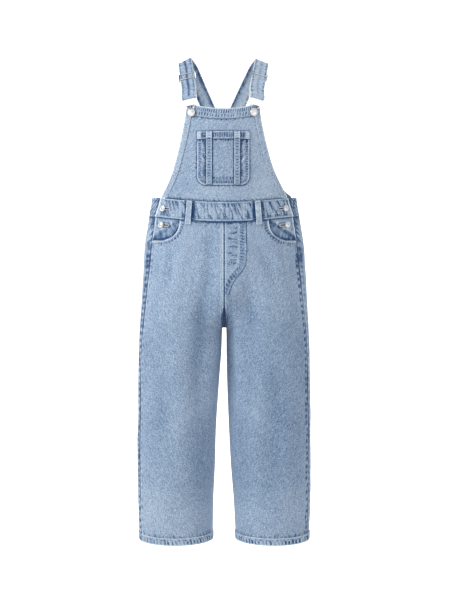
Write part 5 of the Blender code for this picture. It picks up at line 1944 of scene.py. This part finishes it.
def plated_steel(name, dark, light):
    """Polished plating: the tumbling's scuffs change how sharp it mirrors and, a little, how bright."""
    made, tree, shader = new_material(name, Metallic=1.0)
    spot = add_node(tree, "TexCoord").outputs["Object"]
    scuff = add_node(tree, "TexNoise", {"Vector": spot, "Scale": 1 / SCUFF, "Detail": 3.0})
    dull = add_node(tree, "MapRange", {"Value": scuff, "To Min": 0.18, "To Max": 0.42})
    tree.links.new(dull.outputs["Result"], shader.inputs["Roughness"])
    tint = add_node(tree, "ValToRGB", (scuff,))
    set_stops(tint, zip(UNEVEN_STOPS, (dark, light)))
    # tarnish, and the painted shade at a button's rim, turn the plating grey-blue
    tarnish = add_node(tree, "Attribute", attribute_name="tarnish").outputs["Fac"]
    tarnished_and_shaded = add_node(tree, "Mix", {0: tarnish, 6: tint, 7: linear("#6F7C8E")}, data_type="RGBA")
    tree.links.new(tarnished_and_shaded.outputs[2], shader.inputs["Base Color"])
    bump = add_node(tree, "Bump", {"Strength": 0.25, "Distance": 0.05 * MM, "Height": scuff})
    tree.links.new(bump.outputs["Normal"], shader.inputs["Normal"])
    return made


NICKEL = plated_steel("steel_nickel_plated_and_tumbled", "#C2BFBC", "#E3E0DC")
WIRE = plated_steel("steel_nickel_plated_wire", "#B0AEAE", "#D4D1CF")               # drawn, a little duller
CHROME = plated_steel("steel_chrome_plated_and_polished", "#E2E4E6", "#F4F4F4")     # the brightest
print("metals:", ", ".join(made.name for made in (NICKEL, WIRE, CHROME)))


# %% Metal pieces
def metal_piece(name, bm, matrix, finish=NICKEL):
    """Finishes a piece of trim: places it, points its faces out and lets it stand for its solid."""
    bmesh.ops.remove_doubles(bm, verts=bm.verts, dist=0.001)
    bmesh.ops.recalc_face_normals(bm, faces=bm.faces)
    bmesh.ops.transform(bm, matrix=TO_METRES @ matrix, verts=bm.verts)
    mesh = finished_mesh(name, bm, finish)
    mesh.set_sharp_from_angle(angle=radians(40))
    made = add_object(f"{name}_polished", mesh)
    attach(made, "root")
    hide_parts(name)
    print(f"{name}: {len(mesh.polygons)} faces")


def rounded(bm, edges, radius):
    bmesh.ops.bevel(bm, geom=edges, offset=radius, segments=3, affect="EDGES", profile=0.5, material=-1)


# %% Buttons
Button = namedtuple("Button", "radius rise neck stand rubbed")
BIB_BUTTON = Button(radius=8.2, rise=2.6, neck=2.6, stand=2.9, rubbed=0.0)
SIDE_BUTTON = Button(radius=7, rise=2.0, neck=2.2, stand=1.2, rubbed=0.45)   # by the arms
ROLLED_RIM = 0.9


def button_profile(button):
    """Half a button from the middle of its dome, over the pressed ring and the rolled rim, down its neck."""
    top = button.stand + ROLLED_RIM + button.rise
    for share in np.linspace(0, 0.97, 22):
        ring = 0.32 * near(share - 0.74, 0.05) - 0.16 * near(share - 0.86, 0.05)
        yield button.radius * share, top - button.rise * (1 - cos(pi / 2 * share)) - ring
    half = ROLLED_RIM / 2
    for k in range(1, 8):
        turn = pi / 2 - pi * k / 7
        yield button.radius - half + half * cos(turn), button.stand + half + half * sin(turn)
    yield from ((button.neck * 1.25, button.stand), (button.neck, button.stand * 0.6), (button.neck, 0.0),
                (0.0, 0.0))


def tack_button(name, button, foot, out):
    """A jeans button: a shallow dome with a pressed ring and a rolled rim, on a short neck."""
    bm = bmesh.new()
    verts = [bm.verts.new((across, 0.0, height)) for across, height in button_profile(button)]
    edges = [bm.edges.new(pair) for pair in zip(verts, verts[1:])]
    bmesh.ops.spin(bm, geom=verts + edges, cent=(0, 0, 0), axis=(0, 0, 1), angle=2 * pi, steps=44,
                   use_merge=True)
    # darker at the rim as painted shade, and dirt and bare steel in the pressed ring and wherever it is rubbed
    tarnish = bm.verts.layers.float.new("tarnish")
    for vert in bm.verts:
        share = vert.co.xy.length / button.radius
        rubbed_and_rim_shade = button.rubbed * (0.5 + near(share, 0.3)) + 0.75 * beyond(share, 0.80, 0.16)
        vert[tarnish] = float(min(rubbed_and_rim_shade + 0.5 * near(share - 0.66, 0.06), 0.9))
    metal_piece(name, bm, standing_on(foot, out))


for word, side in SIDES.items():
    across, up, out, seat = clip_frame(side)
    tack_button(f"bib_button_{word}", BIB_BUTTON, seat + out * (ON_PANEL + SEAM), out)
    for place, z in SIDE_BUTTON_HEIGHTS.items():
        level = z - float(waist_shift(SIDE_BUTTON_ANGLE))
        lift = (BAND_PROUD if place == "upper" else -LAP) + SEAM
        foot = Vector(trunk(side, level, SIDE_BUTTON_ANGLE, lift))
        foot.z = z
        out = Vector(trunk(side, level, SIDE_BUTTON_ANGLE, 1.0) - trunk(side, level, SIDE_BUTTON_ANGLE))
        tack_button(f"side_button_{place}_{word}", SIDE_BUTTON, foot, out)

# %% Clip plates
# Corners of the plate's half, across and up from the bar that the strap goes round
Corner = namedtuple("Corner", "across up")
PLATE_RIM = (Corner(10, -17), Corner(11.5, -16.2), Corner(15.6, -6), Corner(16, 0.6), Corner(15, 1.5))
PLATE_SLOT = (Corner(15.1, -5.2), Corner(15.1, -1.3))
PLATE_THICKNESS = 1.5


def clip_plate(name, matrix):
    bm = bmesh.new()
    for corners in (PLATE_RIM, PLATE_SLOT):
        line = [(corner.across, CLIP_REACH + corner.up) for corner in corners]
        line += [(-x, y) for x, y in reversed(line)]
        verts = [bm.verts.new((x, y, -PLATE_THICKNESS / 2)) for x, y in line]
        for k in range(len(verts)):
            bm.edges.new((verts[k - 1], verts[k]))
    bmesh.ops.triangle_fill(bm, edges=bm.edges, use_beauty=True, use_dissolve=False)
    pulled = bmesh.ops.extrude_face_region(bm, geom=bm.faces[:], use_keep_orig=True)["geom"]
    bmesh.ops.translate(bm, vec=(0, 0, PLATE_THICKNESS),
                        verts=[vert for vert in pulled if isinstance(vert, bmesh.types.BMVert)])
    bmesh.ops.recalc_face_normals(bm, faces=bm.faces)
    rounded(bm, [edge for edge in bm.edges if edge.calc_face_angle(0.0) > radians(60)], 0.25)
    metal_piece(name, bm, matrix, CHROME)


# %% Clip loops
LOOP_END = (Corner(14.4, 19.6), Corner(10.2, 15.6), Corner(4.4, 6.8))   # from the button's middle
LOOP_RING = 4.1
LOOP_OPEN = radians(40)
LOOP_WIRE = 1.0


def loop_line():
    """The wire's middle line: down one arm, round the button and up the other arm."""
    arm = [(corner.across, corner.up) for corner in LOOP_END]
    for x, y in arm:
        yield -x, y
    for k in range(13):
        angle = (pi - LOOP_OPEN) * (k / 6 - 1)
        yield LOOP_RING * sin(angle), -LOOP_RING * cos(angle)
    yield from reversed(arm)


def bent_wire(name, line, radius, matrix):
    """A round wire: a circle carried along a line of places in one plane, ring after ring."""
    points = fine_line([(x, y, 0.0) for x, y in line], 5 * len(line))
    bm = bmesh.new()
    rings = []
    for point, along in zip(points, np.gradient(points, axis=0)):
        ring = bmesh.ops.create_circle(bm, cap_ends=False, segments=12, radius=radius,
                                       matrix=standing_on(point, along))["verts"]
        rings.append(list({edge for vert in ring for edge in vert.link_edges}))
    for first, second in zip(rings, rings[1:]):
        bmesh.ops.bridge_loops(bm, edges=first + second)
    bmesh.ops.holes_fill(bm, edges=rings[0] + rings[-1], sides=0)
    metal_piece(name, bm, matrix, WIRE)


for word, side in SIDES.items():
    across, up, out, seat = clip_frame(side)
    axes = Matrix((across * side, up, out)).transposed().to_4x4()
    clip_plate(f"clip_plate_{word}", Matrix.Translation(seat + out * CLIP_OUT) @ axes)
    bent_wire(f"clip_loop_{word}", list(loop_line()), LOOP_WIRE,
              Matrix.Translation(seat + out * (ON_PANEL + SEAM + 1.1 * LOOP_WIRE)) @ axes)

# %% Adjusters
SLIDERS = {"right": -56, "left": -53}     # their heights on the straps
SLIDER_CHEEK = (1.6, 17, 8)
SLIDER_BAR = 2
SLIDER_BAR_DEPTH = 1.8
SLIDER_BAR_REACH = 7.5
SLIDER_PLAY = 0.6


def adjuster(word, side):
    """Two cheeks beside the strap and three bars across it, one of them on the strap's other face."""
    line = strap_layers(side)[2]
    height = SLIDERS[word]
    k = next(i for i in range(1, len(line)) if line[i][0].z > height)
    share = (height - line[k - 1][0].z) / (line[k][0].z - line[k - 1][0].z)
    place = line[k - 1][0].lerp(line[k][0], share)
    out = strap_normal(line, k)
    width = (line[k][1] - out * line[k][1].dot(out)).normalized()
    front = 1 if side < 0 else -1       # the two outer bars lie on this face
    bar_out = STRAP_CLOTH / 2 + SEAM + SLIDER_BAR_DEPTH / 2
    reach = STRAP_WIDTH / 2 + SLIDER_PLAY
    bar = (2 * reach + SLIDER_CHEEK[0] / 2, SLIDER_BAR, SLIDER_BAR_DEPTH)
    blocks = [(SLIDER_CHEEK, (end * (reach + SLIDER_CHEEK[0] / 2), 0, 0)) for end in (-1, 1)]
    blocks += [(bar, (0, spot, front * bar_out)) for spot in (-SLIDER_BAR_REACH, SLIDER_BAR_REACH)]
    blocks.append((bar, (0, 0, -front * bar_out)))
    bm = bmesh.new()
    tarnish = bm.verts.layers.float.new("tarnish")
    for size, middle in blocks:
        shape = Matrix.Translation(middle) @ Matrix.Diagonal((*size, 1.0))
        verts = bmesh.ops.create_cube(bm, size=1.0, matrix=shape)["verts"]
        for vert in verts:
            # the cheeks are painted darker than the bars, which stands in for a dimmer reflection on them
            vert[tarnish] = 0.75 if size == SLIDER_CHEEK else 0.1
        rounded(bm, list({edge for vert in verts for edge in vert.link_edges}), 0.6)
    axes = Matrix((width, out.cross(width), out)).transposed().to_4x4()
    metal_piece(f"slider_{word}", bm, Matrix.Translation(place) @ axes, WIRE)


for word, side in SIDES.items():
    adjuster(word, side)

# %% [markdown]
# ## What each cloth is cut to
# A sheet of cloth has the size it was cut to, whatever shape it takes later. The true lengths measured
# over each grid give it. Panels hang from the straps and waistband, bands and pockets lie sewn on them.


for name, cloth in SHEETS.items():
    word = name.rsplit("_", 1)[-1]
